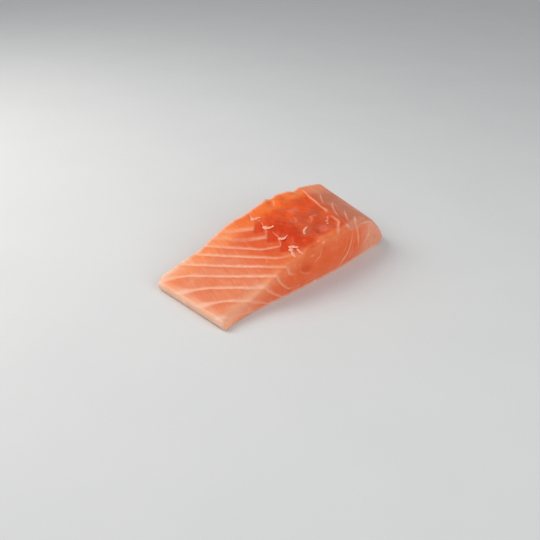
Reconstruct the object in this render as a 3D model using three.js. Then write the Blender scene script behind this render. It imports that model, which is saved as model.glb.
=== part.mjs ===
// A raw salmon fillet portion: one slice cut straight across a boned side of salmon, skin side down.
//
// Units are millimetres and +Z is up. X runs from the thin belly edge to the thick back of the fish,
// and Y runs along the fish, from the near knife cut to the far one. The origin is under the middle
// of the portion, on the flat face that it rests on.
//
// The solid is a skin of closed rings, one ring for each place along Y, with a flat cap on each
// knife cut. A ring is the outline of the cross-section: the flat underside, the undercut below the
// tip of the back, the slope of the back, the upper surface, and the blunt belly rim.

import * as THREE from 'three';
import { mergeVertices } from 'three/addons/utils/BufferGeometryUtils.js';

// Driving dimensions. A pair gives the value at the near cut and at the far cut.
const WIDTH = 54;                      // between the two knife cuts
const SHOULDER_X = [116.4, 132.0];     // belly corner to the shoulder, where the back turns down
const RIM_HEIGHT = [7.2, 6.6];         // thickness at the belly edge
const CROWN_HEIGHT = [26.0, 28.3];     // thickness at the thickest place
const SHOULDER_HEIGHT = [23.6, 23.6];  // thickness at the shoulder
const CROWN_SHARE = 0.71;              // where the crown is, as a share of the way to the shoulder
const RIM_LEAN = -1.6;                 // how far the belly edge drifts in X from near to far
const RIM_ROUND = 2.2;                 // radius of the rim's upper edge
const RIM_BULGE = 1.5;                 // how far the rim stands out at half its height
const CORNER_ROUND = 2.4;              // plan radius of the rim's far corner

// The knife cuts aren't quite straight: each wave is a dent (+) or a swelling (-) of the near cut,
// or the other way round at the far cut.
const NEAR_WAVES = [{ x: 19, reach: 13, depth: 1.1 }, { x: 84, reach: 32, depth: -1.9 }];
const FAR_WAVES = [
  { x: 28, reach: 8, depth: -1.6 },
  { x: 54, reach: 14, depth: 1.3 },
  { x: 92, reach: 9, depth: 2.0 },
  { x: 104, reach: 5, depth: -1.4 },
];

// Beside the belly corner, the flesh sinks towards the near cut.
const NEAR_SLUMP = { x: 22, reach: 13, depth: 3.2, length: 8 };

// The slope of the back, as offsets from the shoulder to the control points of its two curves.
const TIP = { out: 20.7, height: 6.1 };
const FOOT = { out: 13.6, height: 0 }; // where the underside ends
const SLOPE_PULL = [{ out: 15.4, height: 13.0 }, { out: 6.2, height: 22.3 }];
const UNDER_PULL = [{ out: 17.6, height: 1.2 }, { out: 21.0, height: 3.9 }];
const SLOPE_REACH = [1.0, 0.76];       // the slope is steeper at the far cut

// The muscle blocks of the belly lie between slanting sheets of white tissue.
const SEAM_PITCH = 9.8;                // between two sheets, along X
const SEAM_SLANT = 0.708;              // how far a sheet runs back in X for each mm of Y
const SEAM_START = 8.2;                // X of a sheet at the near cut
const BLOCK_BULGE = 0.55;              // how far a block stands up between two sheets
const ARCH_MEAN = 0.6;                 // taken off an arch, so that the blocks keep the plain thickness
const BLOCK_START = 8;                 // length over which the bulge grows from the belly edge
const BLOCK_END = { gap: 2, length: 4 }; // where it runs out, before the rib line

// The relief fades from this share of the way to the shoulder on.
const RELIEF_END = 0.9;

// The boned channel: it lies between the rib line and the spine line, with a torn, lumpy floor.
const RIB_LINE = [58.4, 65.6];         // X of the rib line
const SPINE_LINE = [96.5, 112.6];      // X of the spine line
const CHANNEL_DEPTH = 1.7;
const CHANNEL_FADE = 7;                // length over which the channel runs out at a cut
const CHANNEL_LEFT = [0, 0.6];         // share of the depth that is left at the near and far cut
const LUMP_HEIGHT = 0.45;
const LUMPS = [{ x: 15, y: 21, turn: 0.4 }, { x: -19, y: 13, turn: 1.9 }, { x: 11, y: -34, turn: 3.1 }];
const RIB_DIP = { depth: 1.3, length: 16 };         // the belly side sinks towards the rib line
const RIB_STEP = { height: 1.69, length: [3, 12] }; // and the channel side rises from it
const RIB_SETTLE = { start: 12, length: 14 };       // where the step evens out again, past the rib line
const POCKETS = 3;                     // torn pockets beside the rib line
const POCKET_START = 13.5;             // Y of the first pocket
const POCKET_PITCH = 12;               // between two pockets, along Y
const POCKET_DEPTH = 1.4;
const POCKET_SIZE = [2.4, 3.6];        // half length of a pocket along X and along Y
const POCKET_OFFSET = -2.2;            // from the rib line to the middle of a pocket, on the belly side
const SPINE_RIDGE = { height: 0.8, reach: 2.6 };

// How finely the skin is divided.
const RINGS = 30;
const TOP_STEPS = 72;
const SLOPE_STEPS = 10;
const UNDER_STEPS = 4;
const UNDERSIDE_STEPS = 22;
const RIM_STEPS = 4;

const FLESH_COLOUR = 0xe2804f;

const mix = (pair, share) => THREE.MathUtils.lerp(pair[0], pair[1], share);
const smooth = (share) => THREE.MathUtils.smoothstep(share, 0, 1);
const bell = (offset, reach) => Math.exp(-((offset / reach) ** 2));

/** Thickness without relief, at a share s of the way from the belly edge to the shoulder. */
function plainHeight(s, share) {
  const crown = mix(CROWN_HEIGHT, share);
  if (s > CROWN_SHARE) {
    const fall = (s - CROWN_SHARE) / (1 - CROWN_SHARE);
    return crown - (crown - mix(SHOULDER_HEIGHT, share)) * fall ** 2;
  }
  const rise = s / CROWN_SHARE;
  const ease = (smooth(rise) + Math.sin((rise * Math.PI) / 2)) / 2;
  return THREE.MathUtils.lerp(mix(RIM_HEIGHT, share), crown, ease);
}

/** Bulge of the muscle blocks on the belly side of the rib line: a row of low arches. */
function blockRelief(x, y, ribLine) {
  const phase = (x + SEAM_SLANT * y - SEAM_START) / SEAM_PITCH;
  const arch = Math.abs(Math.sin(phase * Math.PI)) - ARCH_MEAN;
  const end = smooth((x - ribLine + BLOCK_END.gap) / BLOCK_END.length);
  const inside = smooth(x / BLOCK_START) * (1 - end);
  return BLOCK_BULGE * arch * inside;
}

/** The step and the torn pockets along the rib line. */
function ribRelief(x, y, ribLine) {
  const before = smooth((x - ribLine + RIB_DIP.length) / RIB_DIP.length);
  const after = smooth((x - ribLine) / mix(RIB_STEP.length, (y / WIDTH) ** 2));
  const step = RIB_STEP.height * after - RIB_DIP.depth * before;
  const row = Math.round((y - POCKET_START) / POCKET_PITCH);
  const middle = POCKET_START + row * POCKET_PITCH;
  const kept = row >= 0 && row < POCKETS ? 1 : 0;
  const pocket = bell(x - ribLine - POCKET_OFFSET, POCKET_SIZE[0]) * bell(y - middle, POCKET_SIZE[1]);
  const settle = 1 - smooth((x - ribLine - RIB_SETTLE.start) / RIB_SETTLE.length);
  return step * settle - kept * POCKET_DEPTH * pocket;
}

/** The boned channel: a shallow trough with a lumpy floor, and the ridge of the spine line. */
function channelRelief(x, y, ribLine, spineLine) {
  const across = (x - ribLine) / (spineLine - ribLine);
  const kept = 1 - (y / WIDTH) ** 2;
  const ridge = kept * SPINE_RIDGE.height * bell(x - spineLine, SPINE_RIDGE.reach);
  if (across <= 0 || across >= 1) {
    return ridge;
  }
  const ends = [y / CHANNEL_FADE, (WIDTH - y) / CHANNEL_FADE].map((gap, i) => (
    THREE.MathUtils.lerp(CHANNEL_LEFT[i], 1, smooth(gap))
  ));
  const arch = Math.sin(across * Math.PI);
  const waves = LUMPS.map((lump) => Math.sin((x / lump.x + y / lump.y) * 2 * Math.PI + lump.turn));
  const lumps = waves.reduce((sum, wave) => sum + wave, 0);
  return ridge + arch * (LUMP_HEIGHT * lumps - CHANNEL_DEPTH * ends[0] * ends[1]);
}

/** How far the flesh sinks towards the near cut, beside the belly corner. */
function nearSink(x, y) {
  const along = bell(x - NEAR_SLUMP.x, NEAR_SLUMP.reach);
  return NEAR_SLUMP.depth * along * (1 - smooth(y / NEAR_SLUMP.length));
}

/** Height of the upper surface over the point x, y. */
function topHeight(x, y) {
  const share = y / WIDTH;
  const left = RIM_LEAN * share;
  const s = (x - left) / (mix(SHOULDER_X, share) - left);
  const ribLine = mix(RIB_LINE, share);
  const spineLine = mix(SPINE_LINE, share);
  const ribSide = blockRelief(x, y, ribLine) + ribRelief(x, y, ribLine);
  const relief = ribSide + channelRelief(x, y, ribLine, spineLine);
  const relieved = plainHeight(s, share) + relief * (1 - smooth((s - RELIEF_END) / (1 - RELIEF_END)));
  return relieved - nearSink(x, y);
}

/** Where a point at x lies along Y, at a share of the way between the two wavy knife cuts. */
function cutPlace(x, share) {
  const [near, far] = [NEAR_WAVES, FAR_WAVES].map((waves) => (
    waves.reduce((sum, wave) => sum + wave.depth * bell(x - wave.x, wave.reach), 0)
  ));
  return THREE.MathUtils.lerp(near, WIDTH + far, share);
}

/** One ring: the outline of the cross-section at y, counter-clockwise seen from the near cut. */
function sectionOutline(y) {
  const share = y / WIDTH;
  const cornerGap = THREE.MathUtils.clamp(y - (WIDTH - CORNER_ROUND), 0, CORNER_ROUND);
  const corner = CORNER_ROUND - Math.sqrt(CORNER_ROUND ** 2 - cornerGap ** 2);
  const left = RIM_LEAN * share + corner;
  const shoulderX = mix(SHOULDER_X, share);
  const at = (p) => new THREE.Vector2(shoulderX + p.out * mix(SLOPE_REACH, share), p.height);
  const shoulder = { out: 0, height: topHeight(shoulderX, y) };
  const under = new THREE.CubicBezierCurve(...[FOOT, ...UNDER_PULL, TIP].map(at));
  const slope = new THREE.CubicBezierCurve(...[TIP, ...SLOPE_PULL, shoulder].map(at));
  const outline = [];
  for (let i = 0; i < UNDERSIDE_STEPS; i += 1) {
    outline.push([THREE.MathUtils.lerp(left, at(FOOT).x, i / UNDERSIDE_STEPS), 0]);
  }
  for (let i = 0; i < UNDER_STEPS; i += 1) {
    outline.push(under.getPoint(i / UNDER_STEPS).toArray());
  }
  for (let i = 0; i < SLOPE_STEPS; i += 1) {
    outline.push(slope.getPoint(i / SLOPE_STEPS).toArray());
  }
  const topStart = left + RIM_ROUND;
  for (let i = 0; i < TOP_STEPS; i += 1) {
    const x = THREE.MathUtils.lerp(shoulderX, topStart, i / TOP_STEPS);
    outline.push([x, topHeight(x, y)]);
  }
  const rimTop = topHeight(topStart, y);
  const wall = rimTop - RIM_ROUND;
  for (let i = 0; i < RIM_STEPS; i += 1) {
    const turn = (i / RIM_STEPS) * (Math.PI / 2);
    const bulge = RIM_BULGE * Math.sin(turn) * Math.sin((wall / rimTop) * Math.PI);
    const x = topStart - RIM_ROUND * Math.sin(turn) - bulge;
    outline.push([x, wall + RIM_ROUND * Math.cos(turn)]);
  }
  for (let i = 0; i < RIM_STEPS; i += 1) {
    const height = wall * (1 - i / RIM_STEPS);
    outline.push([left - RIM_BULGE * Math.sin((height / rimTop) * Math.PI), height]);
  }
  return outline;
}

/** The triangles of a cap: a zip between a ring's lower and upper chain, both walked from left to right. */
function capFaces(outline) {
  const xs = outline.map(([x]) => x);
  const leftmost = xs.indexOf(Math.min(...xs));
  const rightmost = xs.indexOf(Math.max(...xs));
  const walk = (step) => {
    const chain = [leftmost];
    while (chain.at(-1) !== rightmost) {
      chain.push((chain.at(-1) + step + xs.length) % xs.length);
    }
    return chain;
  };
  const lower = walk(1);
  const upper = walk(-1);
  const faces = [];
  let low = 0;
  let high = 0;
  while (low < lower.length - 1 || high < upper.length - 1) {
    const upperDone = high === upper.length - 1;
    const lowerDone = low === lower.length - 1;
    if (upperDone || (!lowerDone && xs[lower[low + 1]] < xs[upper[high + 1]])) {
      faces.push([lower[low], lower[low + 1], upper[high]]);
      low += 1;
    } else {
      faces.push([lower[low], upper[high + 1], upper[high]]);
      high += 1;
    }
  }
  return faces.filter((face) => new Set(face).size === 3);
}

/** The closed skin over all rings, with a cap of triangles on each knife cut. */
function filletGeometry() {
  const outlines = [];
  const positions = [];
  for (let ring = 0; ring <= RINGS; ring += 1) {
    const y = (WIDTH * (1 - Math.cos((Math.PI * ring) / RINGS)) / 2 + (WIDTH * ring) / RINGS) / 2;
    const outline = sectionOutline(y);
    outlines.push(outline);
    outline.forEach(([x, z]) => positions.push(x, cutPlace(x, y / WIDTH), z));
  }
  const count = outlines[0].length;
  const indices = [];
  for (let ring = 0; ring < RINGS; ring += 1) {
    for (let i = 0; i < count; i += 1) {
      const a = ring * count + i;
      const b = ring * count + ((i + 1) % count);
      indices.push(a, a + count, b, b, a + count, b + count);
    }
  }
  for (const ring of [0, RINGS]) {
    for (const [a, b, c] of capFaces(outlines[ring])) {
      const corners = ring === 0 ? [a, b, c] : [c, b, a];
      indices.push(...corners.map((corner) => ring * count + corner));
    }
  }
  const geometry = new THREE.BufferGeometry();
  geometry.setAttribute('position', new THREE.Float32BufferAttribute(positions, 3));
  geometry.setIndex(indices);
  geometry.computeBoundingBox();
  const { min, max } = geometry.boundingBox;
  geometry.translate(-(min.x + max.x) / 2, -(min.y + max.y) / 2, -min.z);
  const merged = mergeVertices(geometry);
  merged.computeVertexNormals();
  return merged;
}

const flesh = new THREE.MeshStandardMaterial({ color: FLESH_COLOUR, roughness: 0.35, metalness: 0 });
const fillet = new THREE.Mesh(filletGeometry(), flesh);
fillet.name = 'fillet';

const portion = new THREE.Group();
portion.add(fillet);

export default portion;
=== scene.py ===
"""Looks of a raw salmon fillet portion: one slice of a boned side of salmon, lying skin side down.

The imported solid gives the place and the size. Here it is replaced by a fine closed skin of the same
shape, with the slanting muscle blocks of the belly, the torn boned channel, the pale lines of
connective tissue and the fatty belly rim, and by the shreds of white tissue along the rib line.

Sizes are millimetres in the portion's corner frame, unless a name says otherwise: the origin is the
belly corner of the near knife cut, X runs to the thick back, Y along the fish to the far cut, and Z up.
A "share" is a part from 0 to 1: of the way from the near cut to the far cut, or of what is named.
"""

from __future__ import annotations

import logging
import math
from dataclasses import dataclass, field
from enum import Enum
from typing import ClassVar, Sequence

import bpy
import numpy as np
from mathutils import Euler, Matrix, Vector

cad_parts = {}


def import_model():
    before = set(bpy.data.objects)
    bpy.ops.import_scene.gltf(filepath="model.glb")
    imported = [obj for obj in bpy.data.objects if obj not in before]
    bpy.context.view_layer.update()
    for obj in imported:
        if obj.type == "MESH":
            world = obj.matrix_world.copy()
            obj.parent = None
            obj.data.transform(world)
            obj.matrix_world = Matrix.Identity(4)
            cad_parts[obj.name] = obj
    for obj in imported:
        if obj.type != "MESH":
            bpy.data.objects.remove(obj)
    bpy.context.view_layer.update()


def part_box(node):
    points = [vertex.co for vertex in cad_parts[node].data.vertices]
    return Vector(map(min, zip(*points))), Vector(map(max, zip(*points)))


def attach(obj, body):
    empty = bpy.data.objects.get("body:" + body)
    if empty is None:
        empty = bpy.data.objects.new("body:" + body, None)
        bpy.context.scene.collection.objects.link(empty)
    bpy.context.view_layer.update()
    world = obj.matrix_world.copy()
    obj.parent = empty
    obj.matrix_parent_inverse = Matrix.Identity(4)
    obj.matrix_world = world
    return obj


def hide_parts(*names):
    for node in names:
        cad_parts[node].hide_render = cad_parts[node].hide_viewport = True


LOG = logging.getLogger("salmon_fillet")
MM = 0.001
CAD_NODE = "fillet"
BODY = "root"

Array = np.ndarray
Pair = tuple[float, float]
Triple = tuple[float, float, float]
Colour = Triple
Socket = bpy.types.NodeSocket
Material = bpy.types.Material
Mesh = bpy.types.Mesh
Piece = bpy.types.Object


# ---------------------------------------------------------------- formulas, noise and lines


def smooth(share: Array) -> Array:
    """Eases a share: 3t² - 2t³, held at 0 and 1 outside."""
    held = np.clip(share, 0.0, 1.0)
    return held * held * (3.0 - 2.0 * held)


def bell(offset: Array, reach: float | Array) -> Array:
    """A bell curve of height 1: exp(-(offset / reach)²)."""
    return np.exp(-((offset / reach) ** 2))


def mix(low: Array, high: Array, share: Array) -> Array:
    """The value at a share of the way from low to high."""
    return low + (high - low) * share


def graded(steps: int, pull: float) -> Array:
    """Places from 0 to 1 that crowd towards both ends: s - pull * sin(2 pi s) / 2 pi."""
    even = np.linspace(0.0, 1.0, steps + 1)
    return even - pull * np.sin(2.0 * math.pi * even) / (2.0 * math.pi)


def cubic(points: Sequence[tuple[Array, Array]], share: Array) -> tuple[Array, Array]:
    """A point of a cubic Bezier curve, from its four control points.

    Args:
        points: the control points, each a pair of coordinates.
        share: how far along the curve.

    Returns:
        The two coordinates of the point.
    """
    rest = 1.0 - share
    weights = (rest**3, 3.0 * share * rest**2, 3.0 * share**2 * rest, share**3)
    first = sum(weight * point[0] for weight, point in zip(weights, points))
    second = sum(weight * point[1] for weight, point in zip(weights, points))
    return first, second


def unit(vectors: Array) -> Array:
    """The vectors at length 1, one row each."""
    return vectors / np.maximum(np.linalg.norm(vectors, axis=1, keepdims=True), 1e-12)


def srgb(red: int, green: int, blue: int) -> Colour:
    """A display colour of 0 to 255 as linear light: ((c + 0.055) / 1.055) ^ 2.4."""
    shares = [channel / 255.0 for channel in (red, green, blue)]
    return tuple(s / 12.92 if s <= 0.04045 else ((s + 0.055) / 1.055) ** 2.4 for s in shares)


@dataclass(frozen=True)
class Span:
    """A size at the near cut and at the far cut."""

    near: float
    far: float

    def at(self, share: Array) -> Array:
        """The size at a share of the way between the cuts."""
        return mix(self.near, self.far, share)


@dataclass(frozen=True)
class Ramp:
    """An eased step that begins at a start and takes a length, and may lead from one value to another."""

    start: float
    length: float
    low: float = 0.0
    high: float = 1.0

    def up(self, place: Array) -> Array:
        """0 before the ramp and 1 behind it."""
        return smooth((place - self.start) / self.length)

    def down(self, place: Array) -> Array:
        """1 before the ramp and 0 behind it."""
        return 1.0 - self.up(place)

    def at(self, place: Array) -> Array:
        """The low value before the ramp and the high one behind it."""
        return mix(self.low, self.high, self.up(place))


@dataclass(frozen=True)
class Band:
    """A soft band: full up to an offset, and past it a bell curve of a reach."""

    strength: float
    reach: float
    offset: float = 0.0

    def at(self, distance: Array) -> Array:
        """The band's strength at a distance."""
        return self.strength * bell(np.maximum(distance - self.offset, 0.0), self.reach)

    def around(self, distance: Array) -> Array:
        """The strength on both sides of the band's middle, without the offset."""
        return self.strength * bell(distance, self.reach)


@dataclass(frozen=True)
class ValueNoise:
    """Smooth noise in space: random values on a repeating lattice, blended with eased weights."""

    seed: int
    cells: int = 24

    def lattice(self) -> Array:
        """The random values from -1 to 1 on the lattice's corners."""
        return np.random.default_rng(self.seed).uniform(-1.0, 1.0, (self.cells,) * 3)

    def at(self, points: Array, size: Triple, turn: float = 0.0) -> Array:
        """Noise values: each is the eased blend of the eight corners of the cell that a point is in.

        Args:
            points: N points, one row each.
            size: the size of a cell along each axis.
            turn: how far the cells are turned about Z, in degrees.

        Returns:
            One value from -1 to 1 for each point.
        """
        angle = math.radians(turn)
        x = points[:, 0] * math.cos(angle) + points[:, 1] * math.sin(angle)
        y = points[:, 1] * math.cos(angle) - points[:, 0] * math.sin(angle)
        place = np.stack([x, y, points[:, 2]], axis=1) / size
        cell = np.floor(place).astype(int)
        part = smooth(place - cell)
        values = self.lattice()
        total = np.zeros(len(points))
        for corner in np.ndindex(2, 2, 2):
            weight = np.prod(np.where(corner, part, 1.0 - part), axis=1)
            spot = (cell + corner) % self.cells
            total += weight * values[spot[:, 0], spot[:, 1], spot[:, 2]]
        return total


@dataclass(frozen=True)
class Unevenness:
    """A layer of noise: its height, the size and the turn of its cells, and a shift of its place."""

    height: float
    size: Triple
    turn: float = 0.0
    shift: float = 0.0

    def at(self, noise: ValueNoise, points: Array) -> Array:
        """The layer's height at each point."""
        return self.height * noise.at(points + self.shift, self.size, self.turn)


class Side(Enum):
    """Which surface of the portion a line or a patch lies on, and so what its two coordinates are.

    They are x, y on the top and x, z on a knife cut. Over the near edge they are x and the way past
    the edge: inwards along the top (+), or down the near cut (-).
    """

    TOP = "top"
    NEAR_CUT = "near cut"
    FAR_CUT = "far cut"
    NEAR_EDGE = "over the near edge"


@dataclass(frozen=True)
class Trace:
    """A smooth line through a few chosen points of one surface."""

    points: tuple[Pair, ...]
    width: float = 0.6
    strength: float = 1.0
    side: Side = Side.TOP
    taper: float = 0.35
    end_width: ClassVar[float] = 0.55
    end_strength: ClassVar[float] = 0.35
    reach: ClassVar[float] = 3.0

    def path(self, step: float = 0.4) -> Array:
        """The line as close points: Catmull-Rom arcs through the chosen points.

        Args:
            step: about how far apart the points of the result are.

        Returns:
            N points, one row each.
        """
        knots = np.array(self.points, float)
        ends = np.vstack([2 * knots[0] - knots[1], knots, 2 * knots[-1] - knots[-2]])
        arcs = []
        for before, start, stop, after in zip(ends, ends[1:], ends[2:], ends[3:]):
            count = max(2, int(np.linalg.norm(stop - start) / step))
            t = np.linspace(0.0, 1.0, count, endpoint=False)[:, None]
            pull = 2 * before - 5 * start + 4 * stop - after
            twist = 3 * start - before - 3 * stop + after
            arcs.append(start + 0.5 * (t * (stop - before) + t**2 * pull + t**3 * twist))
        return np.vstack([*arcs, knots[-1:]])

    def field(self, spots: Array) -> Array:
        """How strongly the line marks each spot: a bell curve of its distance, thinner at the ends.

        Args:
            spots: N places on the line's surface, one row each.

        Returns:
            One strength from 0 to 1 for each spot.
        """
        line = self.path()
        reach = self.reach * self.width
        low, high = line.min(axis=0) - reach, line.max(axis=0) + reach
        close = np.all((spots > low) & (spots < high), axis=1).nonzero()[0]
        marks = np.zeros(len(spots))
        if not len(close):
            return marks
        starts, runs = line[:-1], np.diff(line, axis=0)
        offsets = spots[close][:, None, :] - starts[None, :, :]
        along = np.clip((offsets * runs).sum(axis=2) / (runs**2).sum(axis=1), 0.0, 1.0)
        gaps = np.linalg.norm(offsets - along[:, :, None] * runs, axis=2)
        nearest = gaps.argmin(axis=1)
        rows = np.arange(len(close))
        place = (nearest + along[rows, nearest]) / len(runs)
        fade = smooth(np.minimum(place, 1.0 - place) / self.taper)
        width = self.width * mix(self.end_width, 1.0, fade)
        strength = self.strength * mix(self.end_strength, 1.0, fade)
        marks[close] = strength * bell(gaps[rows, nearest], width)
        return marks


# ---------------------------------------------------------------- the fillet's form


@dataclass(frozen=True)
class Wave:
    """A dent (+) or a swelling (-) of the near knife cut, or the other way round at the far cut."""

    x: float
    reach: float
    depth: float

    def at(self, x: Array) -> Array:
        """How far the wave moves the cut at x."""
        return self.depth * bell(x - self.x, self.reach)


@dataclass(frozen=True)
class Slump:
    """Where the flesh sinks towards the near cut, beside the belly corner."""

    x: float = 22.0
    reach: float = 13.0
    depth: float = 3.2
    length: float = 8.0

    def share(self, x: Array, y: Array) -> Array:
        """A bell along the near cut, eased out from 1 at the cut to 0 inwards."""
        return bell(x - self.x, self.reach) * (1.0 - smooth(y / self.length))


@dataclass(frozen=True)
class BellyBlocks:
    """The muscle blocks of the belly, between slanting sheets of white tissue.

    A sheet is where `run` has one of the values in `seams`. The phase counts the sheets, and is a
    whole number on each. Ramps of the phase start from the last sheet, and the others are along X.
    """

    slant: float = 0.895
    fan: float = 0.0065
    seams: tuple[float, ...] = (5.2, 16.9, 27.8, 37.0, 44.8, 52.1, 58.1, 63.8, 68.7)
    outer_seams: int = 8
    rim_pitch: float = 10.8
    back_pitch: float = 6.0
    rim_bend: float = 4.2
    rim_straight: Ramp = Ramp(-5.0, 17.0)
    fold: float = 0.73
    fold_fade: float = 0.0052
    fold_start: float = 46.0
    fold_ease: float = 2.0
    lean: Pair = (3.0, 12.8)
    slump: Slump = Slump()
    slump_shift: float = 4.0
    end_x: float = 55.2
    end_curve: float = 0.0024
    dimming: Ramp = Ramp(-4.8, 1.8, 1.0, 0.68)
    veiling: Ramp = Ramp(-2.6, 0.3)
    veiled: Ramp = Ramp(47.0, 7.0, 0.3, 0.65)
    ending: Ramp = Ramp(-0.6, 0.2)
    bulge: float = 0.2
    bulge_level: float = 0.6
    bulge_end: Ramp = Ramp(44.0, 8.0)
    cord: Band = Band(0.025, 0.9)
    furrow_share: float = 0.6
    furrow_offset: float = 1.4
    furrow_width: float = 0.6
    relief_start: Ramp = Ramp(0.0, 8.0)
    relief_end: Ramp = Ramp(-1.0, 4.0)
    probe: float = 0.5
    least_slope: float = 0.05

    def run(self, x: Array, y: Array, drop: Array) -> Array:
        """Where a place lies in the row of sheets.

        It is (x + slant y) / (1 + fan y), because the sheets spread out towards the near cut, plus a
        bend near the rim, less a fold near the rib line, a lean below the top and a shift where the
        flesh sinks.

        Args:
            x: places along X.
            y: places along Y.
            drop: how far below the top, as a share of the height there.

        Returns:
            The run, in millimetres along the near cut's upper edge.
        """
        bend = self.rim_bend * self.rim_straight.down(x)
        past = np.maximum(x - self.fold_start, 0.0)
        fold = (self.fold - self.fold_fade * y) * past**2 / (past + self.fold_ease)
        lean = self.lean[0] * drop + self.lean[1] * drop**2
        sunk = self.slump_shift * self.slump.share(x, y)
        return (x + self.slant * y) / (1.0 + self.fan * y) + bend - fold - lean - sunk

    def phase(self, x: Array, y: Array, drop: Array) -> Array:
        """Counts the sheets up to each place, with the same arguments as `run`.

        Args:
            x: places along X.
            y: places along Y.
            drop: how far below the top, as a share of the height there.

        Returns:
            The count, which is whole on each sheet.
        """
        count = np.arange(1, self.outer_seams + 1)
        before = self.seams[0] - self.rim_pitch * count[::-1]
        after = self.seams[-1] + self.back_pitch * count
        known = np.concatenate([before, self.seams, after])
        return np.interp(self.run(x, y, drop), known, np.arange(len(known)) - float(self.outer_seams))

    def spacing(self, x: Array, y: Array, drop: Array) -> Array:
        """Distance between two sheets near each place: one over the slope of the phase.

        Args:
            x: places along X.
            y: places along Y.
            drop: how far below the top, as a share of the height there.

        Returns:
            The distance at each place.
        """
        step = self.probe
        slope_x = self.phase(x + step, y, drop) - self.phase(x - step, y, drop)
        slope_y = self.phase(x, y + step, drop) - self.phase(x, y - step, drop)
        return 2.0 * step / np.maximum(np.hypot(slope_x, slope_y), self.least_slope)

    def gap(self, x: Array, y: Array, drop: Array) -> Array:
        """Distance from the nearest sheet, below 0 before the sheet."""
        phase = self.phase(x, y, drop)
        return (phase - np.round(phase)) * self.spacing(x, y, drop)

    def ends(self, y: Array) -> Array:
        """X where the sheets end at the torn rib line: end_x + end_curve * y²."""
        return self.end_x + self.end_curve * y**2

    def past_last(self, phase: Array) -> Array:
        """The phase, counted from the last sheet."""
        return phase - float(len(self.seams))

    def strength(self, x: Array, phase: Array) -> Array:
        """How clearly each sheet shows: the last ones lie under a film, clearest near the rib line.

        Args:
            x: places along X.
            phase: the phase there.

        Returns:
            One share for each place.
        """
        past = self.past_last(phase)
        shown = mix(self.dimming.at(past), self.veiled.at(x), self.veiling.up(past))
        return shown * self.ending.down(past)

    def relief(self, x: Array, y: Array) -> Array:
        """Arched blocks, with a low cord along each sheet and a thin furrow on its near side.

        Args:
            x: places along X.
            y: places along Y.

        Returns:
            The height of the relief at each place.
        """
        level = np.zeros_like(x)
        phase, gap = self.phase(x, y, level), self.gap(x, y, level)
        arch = self.bulge * (np.abs(np.sin(math.pi * phase)) - self.bulge_level) * self.bulge_end.down(x)
        furrow = self.furrow_share * bell(gap + self.furrow_offset, self.furrow_width)
        cord = self.cord.strength * (bell(gap, self.cord.reach) - furrow)
        inside = self.relief_start.up(x) * self.relief_end.down(x - self.ends(y))
        return (arch + cord * self.strength(x, phase)) * inside


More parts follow.
